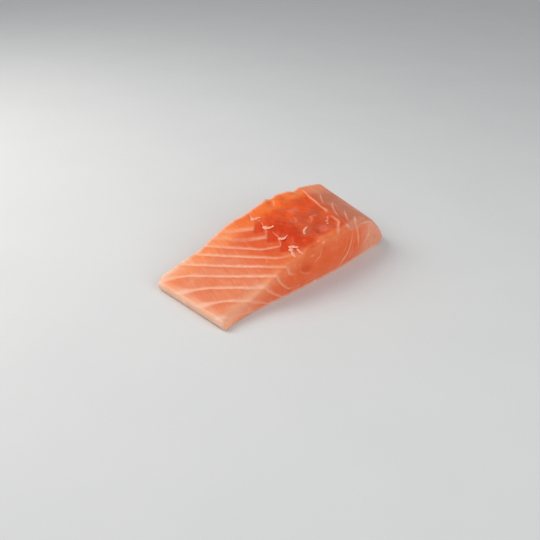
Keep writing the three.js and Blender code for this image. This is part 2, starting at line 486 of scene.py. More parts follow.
@dataclass(frozen=True)
class BonedChannel:
    """The channel that the bones left, between the rib line and the spine line, with a torn floor.

    The ramps `dip` and `settle` are along X from the rib line.
    """

    rib_line: Span = Span(58.4, 65.6)
    spine_line: Span = Span(96.5, 112.6)
    depth: float = 1.7
    fade: float = 10.0
    left_at_cut: Span = Span(0.0, 0.6)
    lump_height: float = 0.45
    lumps: tuple[Triple, ...] = ((15.0, 21.0, 0.4), (-19.0, 13.0, 1.9), (11.0, -34.0, 3.1))
    step_height: float = 1.3
    step_top: float = 1.3
    step_length: Span = Span(3.0, 12.0)
    dip: Ramp = Ramp(-16.0, 16.0)
    settle: Ramp = Ramp(12.0, 14.0)
    ridge_height: float = 0.8
    ridge_reach: float = 2.6
    pockets: tuple[Pair, ...] = ((58.4, 14.0), (60.0, 25.4), (61.3, 37.4))
    pocket_across: Pair = (0.700, -0.731)
    pocket_along: Pair = (0.616, 0.807)
    pocket_size: Pair = (3.5, 6.6)
    pocket_edge: float = 2.2
    pocket_depth: float = 0.65
    noise: ValueNoise = ValueNoise(11)
    shreds: tuple[Unevenness, ...] = (
        Unevenness(0.3, (7.0, 10.5, 9.0), 14.0),
        Unevenness(0.12, (3.0, 5.6, 9.0), -22.0, 40.0),
    )
    shreds_rise: float = 2.5
    shreds_start: Ramp = Ramp(0.0, 9.0)

    def pocket(self, x: Array, y: Array) -> Array:
        """How deep in a torn pocket a place is, from 0 to 1.

        The pockets are parallelograms below the rib line, whose sides follow the belly's sheets and
        the torn ends of the sheets.

        Args:
            x: places along X.
            y: places along Y.

        Returns:
            One share for each place.
        """
        total = np.zeros_like(x)
        for middle_x, middle_y in self.pockets:
            off_x, off_y = x - middle_x, y - middle_y
            across = self.pocket_across[0] * off_x + self.pocket_across[1] * off_y
            along = self.pocket_along[0] * off_x + self.pocket_along[1] * off_y
            reach = np.maximum(np.abs(across) / self.pocket_size[0], np.abs(along) / self.pocket_size[1])
            total = np.maximum(total, smooth((1.0 - reach) * self.pocket_edge))
        return total

    def relief(self, x: Array, y: Array, width: float) -> Array:
        """Height of the channel's relief: the rib step, the lumpy trough, the spine ridge, the pockets.

        Args:
            x: places along X.
            y: places along Y.
            width: distance between the two knife cuts.

        Returns:
            The relief at each place.
        """
        share = y / width
        rib, spine = self.rib_line.at(share), self.spine_line.at(share)
        after = smooth((x - rib) / self.step_length.at(share**2))
        rise = after * self.step_top - self.dip.up(x - rib)
        step = self.step_height * rise * self.settle.down(x - rib)
        across = np.clip((x - rib) / (spine - rib), 0.0, 1.0)
        near_end = mix(self.left_at_cut.near, 1.0, smooth(y / self.fade))
        far_end = mix(self.left_at_cut.far, 1.0, smooth((width - y) / self.fade))
        lumps = sum(np.sin(2.0 * math.pi * (x / lx + y / ly) + turn) for lx, ly, turn in self.lumps)
        arch = np.sin(math.pi * across)
        trough = arch * (self.lump_height * lumps - self.depth * near_end * far_end)
        flat = np.stack([x, y, np.zeros_like(x)], axis=1)
        torn = sum(layer.at(self.noise, flat) for layer in self.shreds)
        ragged = torn * np.minimum(1.0, arch * self.shreds_rise) * self.shreds_start.up(y)
        ridge = (1.0 - share**2) * self.ridge_height * bell(x - spine, self.ridge_reach)
        return step + trough + ragged + ridge - self.pocket_depth * self.pocket(x, y)


@dataclass(frozen=True)
class FilletForm:
    """The outer form of the portion: cross-sections along Y, cut off by two slightly wavy knife cuts."""

    width: float = 54.0
    shoulder_x: Span = Span(116.4, 132.0)
    rim_height: Span = Span(7.2, 6.6)
    crown_height: Span = Span(26.0, 28.3)
    shoulder_height: Span = Span(23.6, 23.6)
    crown_share: float = 0.71
    rim_lean: float = -1.6
    rim_bulge: float = 1.5
    rim_round: float = 3.4
    tip: Pair = (20.7, 6.1)
    foot: Pair = (13.6, 0.0)
    slope_pull: tuple[Pair, ...] = ((6.2, 22.3), (15.4, 13.0))
    under_pull: tuple[Pair, ...] = ((17.6, 1.2), (21.0, 3.9))
    slope_reach: Span = Span(1.0, 0.76)
    near_waves: tuple[Wave, ...] = (Wave(-2.0, 6.0, -1.4), Wave(19.0, 13.0, 1.1), Wave(84.0, 32.0, -1.9))
    far_waves: tuple[Wave, ...] = (
        Wave(28.0, 8.0, -1.6),
        Wave(54.0, 14.0, 1.3),
        Wave(92.0, 9.0, 2.0),
        Wave(104.0, 5.0, -1.4),
    )
    top_part: float = 0.835
    relief_end: Ramp = Ramp(0.9, 0.1)
    blocks: BellyBlocks = BellyBlocks()
    channel: BonedChannel = BonedChannel()

    def left(self, share: Array) -> Array:
        """X of the belly edge at the underside."""
        return self.rim_lean * share

    def plain_height(self, s: Array, share: Array) -> Array:
        """Thickness without relief, s being the way from the belly edge to the shoulder.

        Up to the crown it is the mean of an eased rise and a quarter sine, and beyond it falls as
        the square of the distance.

        Args:
            s: the way, as a share.
            share: which section.

        Returns:
            The heights.
        """
        crown = self.crown_height.at(share)
        rise = np.clip(s / self.crown_share, 0.0, 1.0)
        ease = (smooth(rise) + np.sin(rise * math.pi / 2.0)) / 2.0
        fall = np.clip((s - self.crown_share) / (1.0 - self.crown_share), 0.0, 1.0)
        drop = (crown - self.shoulder_height.at(share)) * fall**2
        return mix(self.rim_height.at(share), crown, ease) - drop

    def top_height(self, x: Array, y: Array, relief: bool = True) -> Array:
        """Height of the upper surface over a place of the section at y.

        Args:
            x: places along X.
            y: places between the cuts, before the cuts' waves.
            relief: whether the blocks and the channel are added.

        Returns:
            The heights.
        """
        share = y / self.width
        left = self.left(share)
        s = (x - left) / (self.shoulder_x.at(share) - left)
        slump = self.blocks.slump
        height = self.plain_height(s, share) - slump.depth * slump.share(x, y)
        if relief:
            rough = self.blocks.relief(x, y) + self.channel.relief(x, y, self.width)
            height = height + rough * self.relief_end.down(s)
        return height

    def cuts_at(self, x: Array) -> tuple[Array, Array]:
        """Y of the near and of the far knife cut at x.

        Args:
            x: places along X.

        Returns:
            Y of the near cut and Y of the far cut.
        """
        near = sum(wave.at(x) for wave in self.near_waves)
        far = self.width + sum(wave.at(x) for wave in self.far_waves)
        return near, far

    def share_at(self, x: Array, y: Array) -> Array:
        """The share between the two wavy cuts at which a place lies."""
        near, far = self.cuts_at(x)
        return (y - near) / (far - near)

    def surface(self, x: Array, y: Array) -> Array:
        """Height of the finished upper surface over a place x, y."""
        share = np.clip(self.share_at(x, y), 0.0, 1.0)
        return self.top_height(x, share * self.width)

    def wall_bulge(self, height: Array, rim_top: Array) -> Array:
        """How far the rim stands out: a half sine over its height, held above the rounded edge."""
        wall = rim_top - self.rim_round
        return self.rim_bulge * np.sin(math.pi * np.minimum(height, wall) / rim_top)

    def top_line(self, a: Array, share: Array, relief: bool = True) -> tuple[Array, Array]:
        """The upper line of a section: the upper surface, and then the slope of the back.

        Args:
            a: how far along the line, from the rim to the tip of the back.
            share: which section.
            relief: whether the surface's relief is added.

        Returns:
            X and Z of the points.
        """
        rim_top = self.rim_height.at(share)
        start = self.left(share) - self.wall_bulge(rim_top, rim_top)
        shoulder = self.shoulder_x.at(share)
        x = mix(start, shoulder, np.minimum(a / self.top_part, 1.0))
        z = self.top_height(x, share * self.width, relief)
        down = np.clip((a - self.top_part) / (1.0 - self.top_part), 0.0, 1.0)
        first = (shoulder, self.shoulder_height.at(share))
        pulls = [self.back_point(point, share) for point in (*self.slope_pull, self.tip)]
        slope_x, slope_z = cubic([first, *pulls], down)
        on_slope = a > self.top_part
        return np.where(on_slope, slope_x, x), np.where(on_slope, slope_z, z)

    def back_point(self, point: Pair, share: Array) -> tuple[Array, float]:
        """A control point of the back, given as its offset from the shoulder and its height."""
        return self.shoulder_x.at(share) + point[0] * self.slope_reach.at(share), point[1]

    def bottom_line(self, a: Array, share: Array) -> tuple[Array, Array]:
        """The flat underside of a section, from the belly edge to the foot of the back."""
        foot_x, _ = self.back_point(self.foot, share)
        return mix(self.left(share), foot_x, a), np.zeros_like(a)

    def rim_line(self, c: Array, share: Array) -> tuple[Array, Array]:
        """The belly rim of a section, from the underside up.

        Args:
            c: how far up the rim.
            share: which section.

        Returns:
            X and Z of the points.
        """
        rim_top = self.rim_height.at(share)
        height = c * rim_top
        return self.left(share) - self.wall_bulge(height, rim_top), height

    def under_line(self, c: Array, share: Array) -> tuple[Array, Array]:
        """The undercut of the back, from the foot up to the tip."""
        points = [self.back_point(point, share) for point in (self.foot, *self.under_pull, self.tip)]
        return cubic(points, c)


@dataclass(frozen=True)
class EdgeRounding:
    """Radii of the portion's edges. At a meeting of two faces each inset follows an ellipse.

    The two ramps along X change the near cut's upper edge. Each `fade` is the distance from an edge
    over which its radius passes into the next one.
    """

    near_belly: Ramp = Ramp(0.0, 18.0, 6.4, 1.6)
    near_back: float = 4.6
    back_ramp: Ramp = Ramp(56.0, 22.0)
    far_top: float = 1.0
    cut_bottom: float = 0.6
    rim_corner: Span = Span(0.5, 2.9)
    bulge_share: float = 0.8
    back_tip: float = 1.3
    bottom: float = 0.7
    rim_fade: float = 7.5
    cut_fade: float = 12.0
    wall_fade: float = 6.0
    high_fade: float = 8.0
    far_rim_fade: float = 7.0

    def near_top(self, x: Array) -> Array:
        """Radius of the near cut's upper edge: soft at the rim and the back, and sharper between them."""
        return mix(self.near_belly.at(x), self.near_back, self.back_ramp.up(x))

    def near_drop(self, x: Array, inward: Array) -> Array:
        """How far the rounded near edge lies below the sharp one, at a distance inward from the cut.

        Args:
            x: places along X.
            inward: the distances from the cut.

        Returns:
            The drops.
        """
        radius = self.near_top(x)
        share = np.clip(1.0 - inward / radius, 0.0, 1.0)
        return radius * (1.0 - np.sqrt(1.0 - share**2))


@dataclass
class SkinPoints:
    """The skin's points, with what the dressing needs to know about each.

    The lattice coordinates run from the rim to the back (a), from the near cut to the far cut (b)
    and from the underside to the top (c). `flat` are the places with sharp edges and `place` those
    with rounded ones. `drop` is the depth below the top as a share of the height, and `past_edge`
    the way past the near cut's upper edge. `top_gap` and `back_gap` are the distances from the upper
    line and from the undercut of the same section.
    """

    a: Array
    b: Array
    c: Array
    flat: Array
    place: Array
    drop: Array
    past_edge: Array
    top_gap: Array
    back_gap: Array

    def on(self, side: Side) -> Array:
        """Which points belong to a surface, edges included.

        Args:
            side: the surface.

        Returns:
            One truth value for each point.
        """
        top, near = self.c == 1.0, self.b == 0.0
        far = self.b == 1.0
        tests = {Side.TOP: top, Side.NEAR_CUT: near, Side.FAR_CUT: far, Side.NEAR_EDGE: top | near}
        return tests[side]

    def on_top(self, inside: Array, outside: float = 0.0) -> Array:
        """One value for the points of the upper surface, and another for the rest."""
        return np.where(self.c == 1.0, inside, outside)

    def on_cuts(self) -> Array:
        """Which points belong to one of the knife cuts."""
        return (self.b == 0.0) | (self.b == 1.0)

    def spots(self, side: Side) -> Array:
        """The two coordinates that lines and patches on a surface use.

        Args:
            side: the surface.

        Returns:
            One row for each point.
        """
        x, y, z = self.flat.T
        second = {Side.TOP: y, Side.NEAR_EDGE: self.past_edge}.get(side, z)
        return np.column_stack([x, second])


@dataclass(frozen=True)
class Patch:
    """A soft oval patch of another colour, turned by degrees about the surface's normal."""

    middle: Pair
    reach: Pair
    colour: Colour
    strength: float = 0.7
    turn: float = 0.0
    side: Side = Side.TOP

    def field(self, spots: Array) -> Array:
        """strength * exp(-r⁴), where r is the distance from the middle, in reaches.

        Args:
            spots: N places on the patch's surface, one row each.

        Returns:
            One strength for each spot.
        """
        angle = math.radians(self.turn)
        across, up = (spots - self.middle).T
        along = (across * math.cos(angle) + up * math.sin(angle)) / self.reach[0]
        aside = (up * math.cos(angle) - across * math.sin(angle)) / self.reach[1]
        return self.strength * np.exp(-((along**2 + aside**2) ** 2))


@dataclass(frozen=True)
class SeamLines:
    """Lines of tissue that aren't the belly's regular sheets, and dark lines of painted shade beside some of
    them.
    """

    pale: tuple[Trace, ...] = (
        # The spine line, its stronger lower end, and a thin line beside it.
        Trace(
            (
                (112.0, 52.7), (110.5, 47.8), (107.1, 40.1), (105.4, 33.7), (103.0, 27.2), (102.1, 22.8),
                (99.8, 18.0),
            ),
            width=0.7, strength=0.8, taper=0.12,
        ),
        Trace(((103.2, 24.5), (102.1, 22.0), (99.9, 18.2)), 1.4, 0.5),
        Trace(((100.3, 17.9), (98.0, 16.3), (95.4, 14.5), (91.7, 11.8), (88.0, 9.5)), 0.6, 0.5),
        Trace(((113.2, 49.5), (112.6, 47.0), (111.4, 43.9), (110.7, 41.0)), 0.6, 0.45),
        # Sheets of the back, from the slope to the spine line.
        Trace(((120.6, 44.0), (119.0, 41.0), (113.3, 35.3), (107.8, 28.7), (104.7, 24.0)), 0.75, 0.55),
        Trace(((117.6, 29.4), (110.0, 23.0), (103.7, 14.5), (99.4, 8.6)), 0.75, 0.65),
        # Films and folds on the channel's floor.
        Trace(((88.2, 53.6), (87.3, 52.2), (83.5, 47.3), (83.1, 44.2)), 0.8, 0.5),
        Trace(((95.9, 22.7), (91.4, 21.3), (88.6, 23.0), (88.2, 20.5), (82.6, 17.7)), 0.8, 0.42),
        Trace(((81.3, 30.2), (80.8, 26.7), (76.7, 23.7)), 0.7, 0.42),
        Trace(((81.3, 30.2), (78.6, 28.6), (76.3, 26.2), (76.7, 23.7)), 0.6, 0.32),
        Trace(((84.5, 39.3), (84.1, 35.6), (86.6, 33.8)), 0.7, 0.32),
        Trace(((86.9, 36.9), (88.4, 34.6), (92.2, 33.6)), 1.6, 0.3),
        Trace(((73.5, 5.8), (77.8, 5.1), (83.0, 4.7)), 0.8, 0.5),
        # A short thread across a block of the belly.
        Trace(((44.5, 14.9), (39.7, 10.0)), 0.5, 0.35),
        # Sheets that run over the near edge: the spine line's end, and those of the back.
        Trace(
            ((99.3, 17.6), (98.2, 13.6), (96.9, 8.9), (94.0, 6.9), (88.8, 2.4), (86.5, -0.5)),
            1.0, 0.65, Side.NEAR_EDGE, 0.15,
        ),
        Trace(((94.0, 6.9), (88.8, 2.4), (86.0, -1.5)), 1.5, 0.5, Side.NEAR_EDGE),
        Trace(((114.9, 18.3), (108.5, 12.2), (104.0, 7.2), (101.8, 2.5)), 0.7, 0.7, Side.NEAR_EDGE),
        Trace(((97.5, 4.2), (97.7, 1.5), (98.2, -0.8)), 1.2, 0.9, Side.NEAR_EDGE),
        Trace(
            ((112.3, 7.9), (105.9, 2.5), (104.8, -2.6), (106.2, -6.9), (107.8, -12.4), (107.6, -17.0)),
            0.85, 0.75, Side.NEAR_EDGE, 0.2,
        ),
        Trace(((112.3, 7.9), (108.0, 4.5), (105.9, 2.5)), 1.0, 0.8, Side.NEAR_EDGE),
        Trace(((72.4, 3.3), (71.3, 2.5)), 1.1, 0.7, Side.NEAR_EDGE),
        Trace(((74.6, -1.2), (72.9, -1.5)), 1.2, 0.9, Side.NEAR_EDGE),
        # Sheets of the back on the cuts, from the nose inwards.
        Trace(
            ((115.9, 23.0), (116.8, 20.7), (118.0, 15.3), (117.2, 10.9), (113.5, 7.7), (110.9, 4.8)),
            0.7, 0.65, Side.NEAR_CUT,
        ),
        Trace(
            ((98.6, 24.5), (100.0, 22.0), (100.0, 14.8), (97.5, 8.7), (92.3, 4.4), (89.6, 2.7), (84.0, 1.2)),
            0.75, 0.8, Side.NEAR_CUT,
        ),
        Trace(((110.6, 21.0), (111.6, 15.0), (111.2, 9.5), (108.6, 4.6)), 0.7, 0.45, Side.NEAR_CUT),
        Trace(((102.6, 22.5), (103.0, 16.0), (101.6, 10.0), (97.4, 5.0)), 0.7, 0.4, Side.NEAR_CUT),
        Trace(((94.0, 21.0), (94.6, 14.0), (91.5, 8.5), (86.0, 4.5)), 0.7, 0.32, Side.NEAR_CUT),
        Trace(((87.0, 20.0), (86.6, 14.0), (83.0, 8.5), (77.0, 5.0)), 0.7, 0.24, Side.NEAR_CUT),
        # The swirl of the middle, and the arcs under it.
        Trace(((54.6, 17.0), (55.2, 13.5), (57.8, 11.0), (61.6, 9.1), (66.5, 8.0)), 0.75, 0.5, Side.NEAR_CUT),
        Trace(
            ((73.4, 22.3), (72.0, 20.3), (71.5, 17.1), (68.0, 15.1), (64.0, 14.3)),
            0.6, 0.55, Side.NEAR_CUT,
        ),
        Trace(((62.8, 19.7), (64.6, 19.6), (66.9, 19.2)), 0.7, 0.6, Side.NEAR_CUT),
        Trace(((53.6, 3.9), (55.4, 3.6)), 0.8, 0.6, Side.NEAR_CUT),
        Trace(((46.1, 14.2), (52.1, 11.7)), 0.7, 0.22, Side.NEAR_CUT),
        Trace(((57.5, 2.4), (61.0, 3.2), (69.2, 4.3)), 0.7, 0.38, Side.NEAR_CUT),
    )
    # Painted shade: dark lines in the creases beside the spine ridge and in the gaps under the tissue flaps.
    dark: tuple[Trace, ...] = (
        Trace(((108.6, 46.5), (105.9, 41.6), (102.6, 35.6), (101.0, 28.7), (99.6, 26.3)), 1.0, 0.6),
        Trace(((82.7, 42.6), (84.7, 40.1)), 0.9, 0.4),
        Trace(((64.7, 35.6), (66.1, 31.7)), 0.5, 0.7),
        Trace(((63.0, 31.6), (64.3, 29.3)), 0.5, 0.7),
        Trace(((62.5, 22.6), (63.0, 21.0)), 0.6, 0.6),
        Trace(((97.2, 15.5), (95.6, 10.6), (91.5, 7.2)), 0.7, 0.35),
    )
    far_shift: float = 15.0

    def field(self, traces: Sequence[Trace], points: SkinPoints) -> Array:
        """The strength of the strongest of some lines at each point of the skin.

        The far cut shows the near cut's lines, moved towards the back as the sheets run.

        Args:
            traces: the lines.
            points: the skin's points.

        Returns:
            One strength for each point.
        """
        total = np.zeros(len(points.a))
        jobs = [(trace, trace.side, 0.0) for trace in traces]
        jobs += [(trace, Side.FAR_CUT, self.far_shift) for trace in traces if trace.side is Side.NEAR_CUT]
        for trace, side, shift in jobs:
            chosen = points.on(side).nonzero()[0]
            spots = points.spots(side)[chosen] - (shift, 0.0)
            total[chosen] = np.maximum(total[chosen], trace.field(spots))
        return total


# ---------------------------------------------------------------- meshes


def new_piece(name: str, points: Array, faces: Array, material: Material) -> Piece:
    """Makes a smooth-shaded mesh object at the origin.

    Args:
        name: the piece's name.
        points: its vertices, in metres.
        faces: its faces, one row of vertex numbers each.
        material: its finish.

    Returns:
        The new object.
    """
    mesh = bpy.data.meshes.new(name)
    mesh.from_pydata(points.tolist(), [], faces.tolist())
    mesh.materials.append(material)
    mesh.polygons.foreach_set("use_smooth", np.ones(len(faces), bool))
    mesh.update()
    piece = bpy.data.objects.new(name, mesh)
    bpy.context.scene.collection.objects.link(piece)
    return piece


def point_value(mesh: Mesh, name: str, values: Array) -> None:
    """Stores a number, or a colour, for each vertex, for the finish to read.

    Args:
        mesh: the mesh.
        name: what the finish reads it by.
        values: one number, or one row, for each vertex.
    """
    if values.ndim == 1:
        attribute = mesh.attributes.new(name, "FLOAT", "POINT")
        attribute.data.foreach_set("value", values.astype(np.float32))
        return
    attribute = mesh.attributes.new(name, "FLOAT_COLOR", "POINT")
    full = np.column_stack([values, np.ones(len(values))])
    attribute.data.foreach_set("color", full.ravel().astype(np.float32))


def point_normals(points: Array, faces: Array) -> Array:
    """Unit normals: the sum of the cross products of the diagonals of the faces around each point.

    Args:
        points: the vertices.
        faces: the quads.

    Returns:
        One unit vector for each vertex.
    """
    corners = points[faces]
    across = np.cross(corners[:, 2] - corners[:, 0], corners[:, 3] - corners[:, 1])
    total = np.zeros_like(points)
    for axis in range(3):
        weights = np.repeat(across[:, axis], 4)
        total[:, axis] = np.bincount(faces.ravel(), weights, len(points))
    return unit(total)


@dataclass(frozen=True)
class Zones:
    """Where the flesh changes its kind: each method gives shares from 0 to 1 for the skin's points.

    Ramps and bands are along X, Y or Z, or the way past the near edge, as the methods use them.
    """

    form: FilletForm = FilletForm()
    band: Band = Band(1.0, 3.0, 1.8)
    band_brow: Band = Band(0.45, 1.2)
    band_share: float = 0.75
    band_start: Ramp = Ramp(20.0, 14.0)
    band_end: Ramp = Ramp(58.0, 8.0)
    rim_fat: Ramp = Ramp(-2.0, 6.0)
    rim_fat_share: float = 0.9
    corner_fat_share: float = 0.6
    corner_fat_y: Ramp = Ramp(42.0, 9.0)
    corner_fat_x: Ramp = Ramp(16.0, 10.0)
    edge_fat: Band = Band(0.68, 3.0, 1.8)
    edge_fat_end: Ramp = Ramp(22.0, 22.0)
    near_corner: Ramp = Ramp(0.0, 22.0)
    brow_fat: Pair = (0.4, 0.75)
    brow_reach: Pair = (1.1, 2.6)
    thin_end: tuple[tuple[float, Ramp], ...] = ((0.35, Ramp(0.0, 30.0)), (0.3, Ramp(0.0, 5.0)))
    wall_fat: float = 0.95
    under_fat: float = 0.75
    # Width of the pale edge line, which is partly painted highlight.
    pale_edge_and_highlight: float = 1.4
    outline_inset: float = 0.5
    outline_belly: Ramp = Ramp(0.0, 30.0)
    outline_growth: float = 2.2
    outline_share: float = 0.75
    outline_peak: float = 92.0
    outline_peak_reach: float = 9.0
    # Partly painted highlight along the edges of the back and of the nose.
    back_outline: Band = Band(0.6, 1.4)
    nose_outline: Band = Band(0.5, 1.1)
    nose_outline_start: Ramp = Ramp(100.0, 12.0)
    nose_outline_loss: float = 14.0
    foot_share: float = 0.7
    foot_height: Ramp = Ramp(0.3, 2.0)
    foot_start: Ramp = Ramp(14.0, 20.0)
    tip: Band = Band(0.8, 1.6)
    tip_end: Ramp = Ramp(0.5, 5.0)
    tip_height: Ramp = Ramp(2.5, 2.5)
    # Painted light: how pale the rim wall is, from its foot up.
    wall_painted_light: Ramp = Ramp(0.0, 6.0, 0.85, 0.3)
    channel_rib: Ramp = Ramp(-1.5, 3.0)
    channel_spine: Ramp = Ramp(-1.0, 4.0)
    channel_edge: Ramp = Ramp(-2.0, 7.0)
    nose_start: Span = Span(106.0, 120.0)
    nose_ramp: Ramp = Ramp(0.0, 16.0)
    nose_slope: Ramp = Ramp(0.80, 0.1)
    sheet_end: Ramp = Ramp(-0.4, 1.8)
    pocket_loss: float = 2.5
    edge_loss: Ramp = Ramp(44.0, 8.0, 0.45, 0.75)
    edge_loss_start: Ramp = Ramp(34.0, 6.0)
    edge_loss_end: Ramp = Ramp(4.0, 14.0)
    cut_sheets: float = 0.6
    cut_sheets_end: Ramp = Ramp(46.0, 8.0)
    cut_rim_loss: float = 0.3
    cut_rim: Ramp = Ramp(6.0, 8.0)
    under_sheets: float = 0.4
    under_sheets_end: Ramp = Ramp(96.0, 24.0)
    wall_sheets: float = 0.3
    sheet_width: Pair = (0.72, 1.4)
    rim_widening: float = 0.45
    rim_widening_end: Ramp = Ramp(0.0, 9.0)
    cut_width: float = 0.6

    def spine(self, points: SkinPoints) -> Array:
        """X of the spine line beside each point."""
        return self.form.channel.spine_line.at(points.b)

    def near_band(self, points: SkinPoints) -> Array:
        """A light band along the near edge, beyond the belly's thin end.

        Args:
            points: the skin's points.

        Returns:
            One share for each point.
        """
        x = points.place[:, 0]
        along = self.band_start.up(x) * self.band_end.down(x)
        top = points.on_top(self.band.at(points.past_edge))
        brow = np.where(points.b == 0.0, self.band_brow.around(points.past_edge), 0.0)
        return self.band_share * np.maximum(top, brow) * along

    def belly_fat(self, points: SkinPoints) -> Array:
        """Fat of the belly: the rim, the band along the near edge, and the thin end of the cuts.

        Args:
            points: the skin's points.

        Returns:
            One share for each point.
        """
        x, y, _ = points.place.T
        rim = self.rim_fat_share * self.rim_fat.down(x - self.form.left(points.b))
        far_corner = self.corner_fat_share * self.corner_fat_y.up(y) * self.corner_fat_x.down(x)
        fade = self.edge_fat_end.down(x)
        band = self.edge_fat.at(points.past_edge) * fade
        corner = self.near_corner.down(x)
        brow = mix(*self.brow_fat, corner) * bell(points.past_edge, mix(*self.brow_reach, corner)) * fade
        thin_end = sum(share * ramp.down(x) for share, ramp in self.thin_end)
        top = np.maximum(np.maximum(rim, far_corner), band)
        kinds = [points.c == 1.0, points.b == 0.0, points.b == 1.0, points.a == 0.0]
        return np.select(kinds, [top, np.maximum(thin_end, brow), thin_end, self.wall_fat], self.under_fat)

    def edge_lines_and_painted_light(self, points: SkinPoints) -> Array:
        """Thin pale lines along the far edge and the back, round the nose, and at the cuts' foot, with a
        paler foot of the rim wall. The lines along the far edge, the back and the nose are partly fat and
        partly painted highlight; the cuts' foot line is fat; the rim wall's paler foot is painted light.

        Args:
            points: the skin's points.

        Returns:
            One share for each point.
        """
        x, y, z = points.flat.T
        _, far = self.form.cuts_at(x)
        belly = self.outline_belly.up(x)
        width = self.pale_edge_and_highlight * mix(self.outline_growth, 1.0, belly)
        edge = bell(np.maximum(far - y - self.outline_inset, 0.0), width)
        peak = mix(self.outline_share, 1.0, bell(x - self.outline_peak, self.outline_peak_reach))
        back = self.back_outline.around(points.back_gap)
        before_nose = self.nose_outline_loss * self.nose_outline_start.down(x)
        nose = self.nose_outline.around(np.minimum(points.top_gap + before_nose, points.back_gap))
        foot = self.foot_share * self.foot_height.down(z) * self.foot_start.up(x)
        tips = self.tips(points)
        # On the top: partly painted highlight along the far edge and the back, and the pale ends of the
        # sheets.
        top = np.maximum(np.maximum(edge * mix(1.0, peak, belly), back), tips * self.tip_end.down(x))
        # On the rim wall: painted light towards its foot, the far edge's line and the pale ends of the
        # sheets.
        wall = np.maximum(np.maximum(self.wall_painted_light.at(z), edge), tips * self.tip_height.up(z))
        kinds = [points.on_cuts(), points.a == 0.0, (points.a == 1.0) | (points.c == 0.0)]
        return np.select(kinds, [np.maximum(nose, foot), wall, 0.0], top)

    def tips(self, points: SkinPoints) -> Array:
        """The whitish ends of the belly's sheets, used at the rim."""
        x, y, _ = points.place.T
        return self.tip.around(self.form.blocks.gap(x, y, points.drop))

    def channel(self, points: SkinPoints) -> Array:
        """The torn floor between the rib line and the spine line.

        Args:
            points: the skin's points.

        Returns:
            One share for each point.
        """
        x = points.place[:, 0]
        rib = self.form.channel.rib_line.at(points.b)
        inside = self.channel_rib.up(x - rib) * self.channel_spine.up(self.spine(points) - x)
        return inside * points.on_top(self.channel_edge.up(points.past_edge))

    def pocket(self, points: SkinPoints) -> Array:
        """The torn pockets of the channel's floor."""
        x, y, _ = points.place.T
        return self.form.channel.pocket(x, self.form.share_at(x, y) * self.form.width)

    def far_part(self, points: SkinPoints, ramp: Ramp) -> Array:
        """The far part of the top, by a ramp along Y."""
        return points.on_top(ramp.up(points.place[:, 1]))

    def loin(self, points: SkinPoints, ramp: Ramp) -> Array:
        """The duller flesh of the back, by a ramp along X from the spine line."""
        return points.on_top(ramp.up(points.place[:, 0] - self.spine(points)))

    def nose(self, points: SkinPoints) -> Array:
        """The pale tan end of the back, on the slope, the undercut and the cuts."""
        on_cut = self.nose_ramp.up(points.place[:, 0] - self.nose_start.at(points.b))
        return np.select([points.on_cuts(), points.c > 0.0], [on_cut, self.nose_slope.up(points.a)], 0.0)

    def stripes(self, points: SkinPoints) -> Array:
        """How clearly the belly's sheets show as white lines.

        Args:
            points: the skin's points.

        Returns:
            One share for each point.
        """
        x, y, _ = points.place.T
        blocks = self.form.blocks
        whole = 1.0 - smooth(self.pocket(points) * self.pocket_loss)
        ends = self.sheet_end.down(x - blocks.ends(y)) * whole
        loss = self.edge_loss.at(x) * self.edge_loss_start.up(x)
        near_loss = loss * self.edge_loss_end.down(points.past_edge)
        top = ends * blocks.strength(x, blocks.phase(x, y, points.drop)) * (1.0 - near_loss)
        rim_loss = self.cut_rim_loss * self.cut_rim.down(x)
        cuts = self.cut_sheets * self.cut_sheets_end.down(x) * (1.0 - rim_loss)
        under = self.under_sheets * self.under_sheets_end.down(x)
        kinds = [points.c == 1.0, points.on_cuts(), points.c == 0.0, points.a == 0.0]
        return np.select(kinds, [top, cuts, under, self.wall_sheets], 0.0)

    def line_width(self, points: SkinPoints) -> Array:
        """Half the width of a belly sheet's line: wide at the rim, and thin on the cuts.

        Args:
            points: the skin's points.

        Returns:
            One half width for each point.
        """
        x, y, _ = points.place.T
        blocks = self.form.blocks
        veiled = blocks.veiling.up(blocks.past_last(blocks.phase(x, y, points.drop)))
        top = mix(*self.sheet_width, veiled) + self.rim_widening * self.rim_widening_end.down(x)
        return np.where(points.on_cuts(), self.cut_width, top)


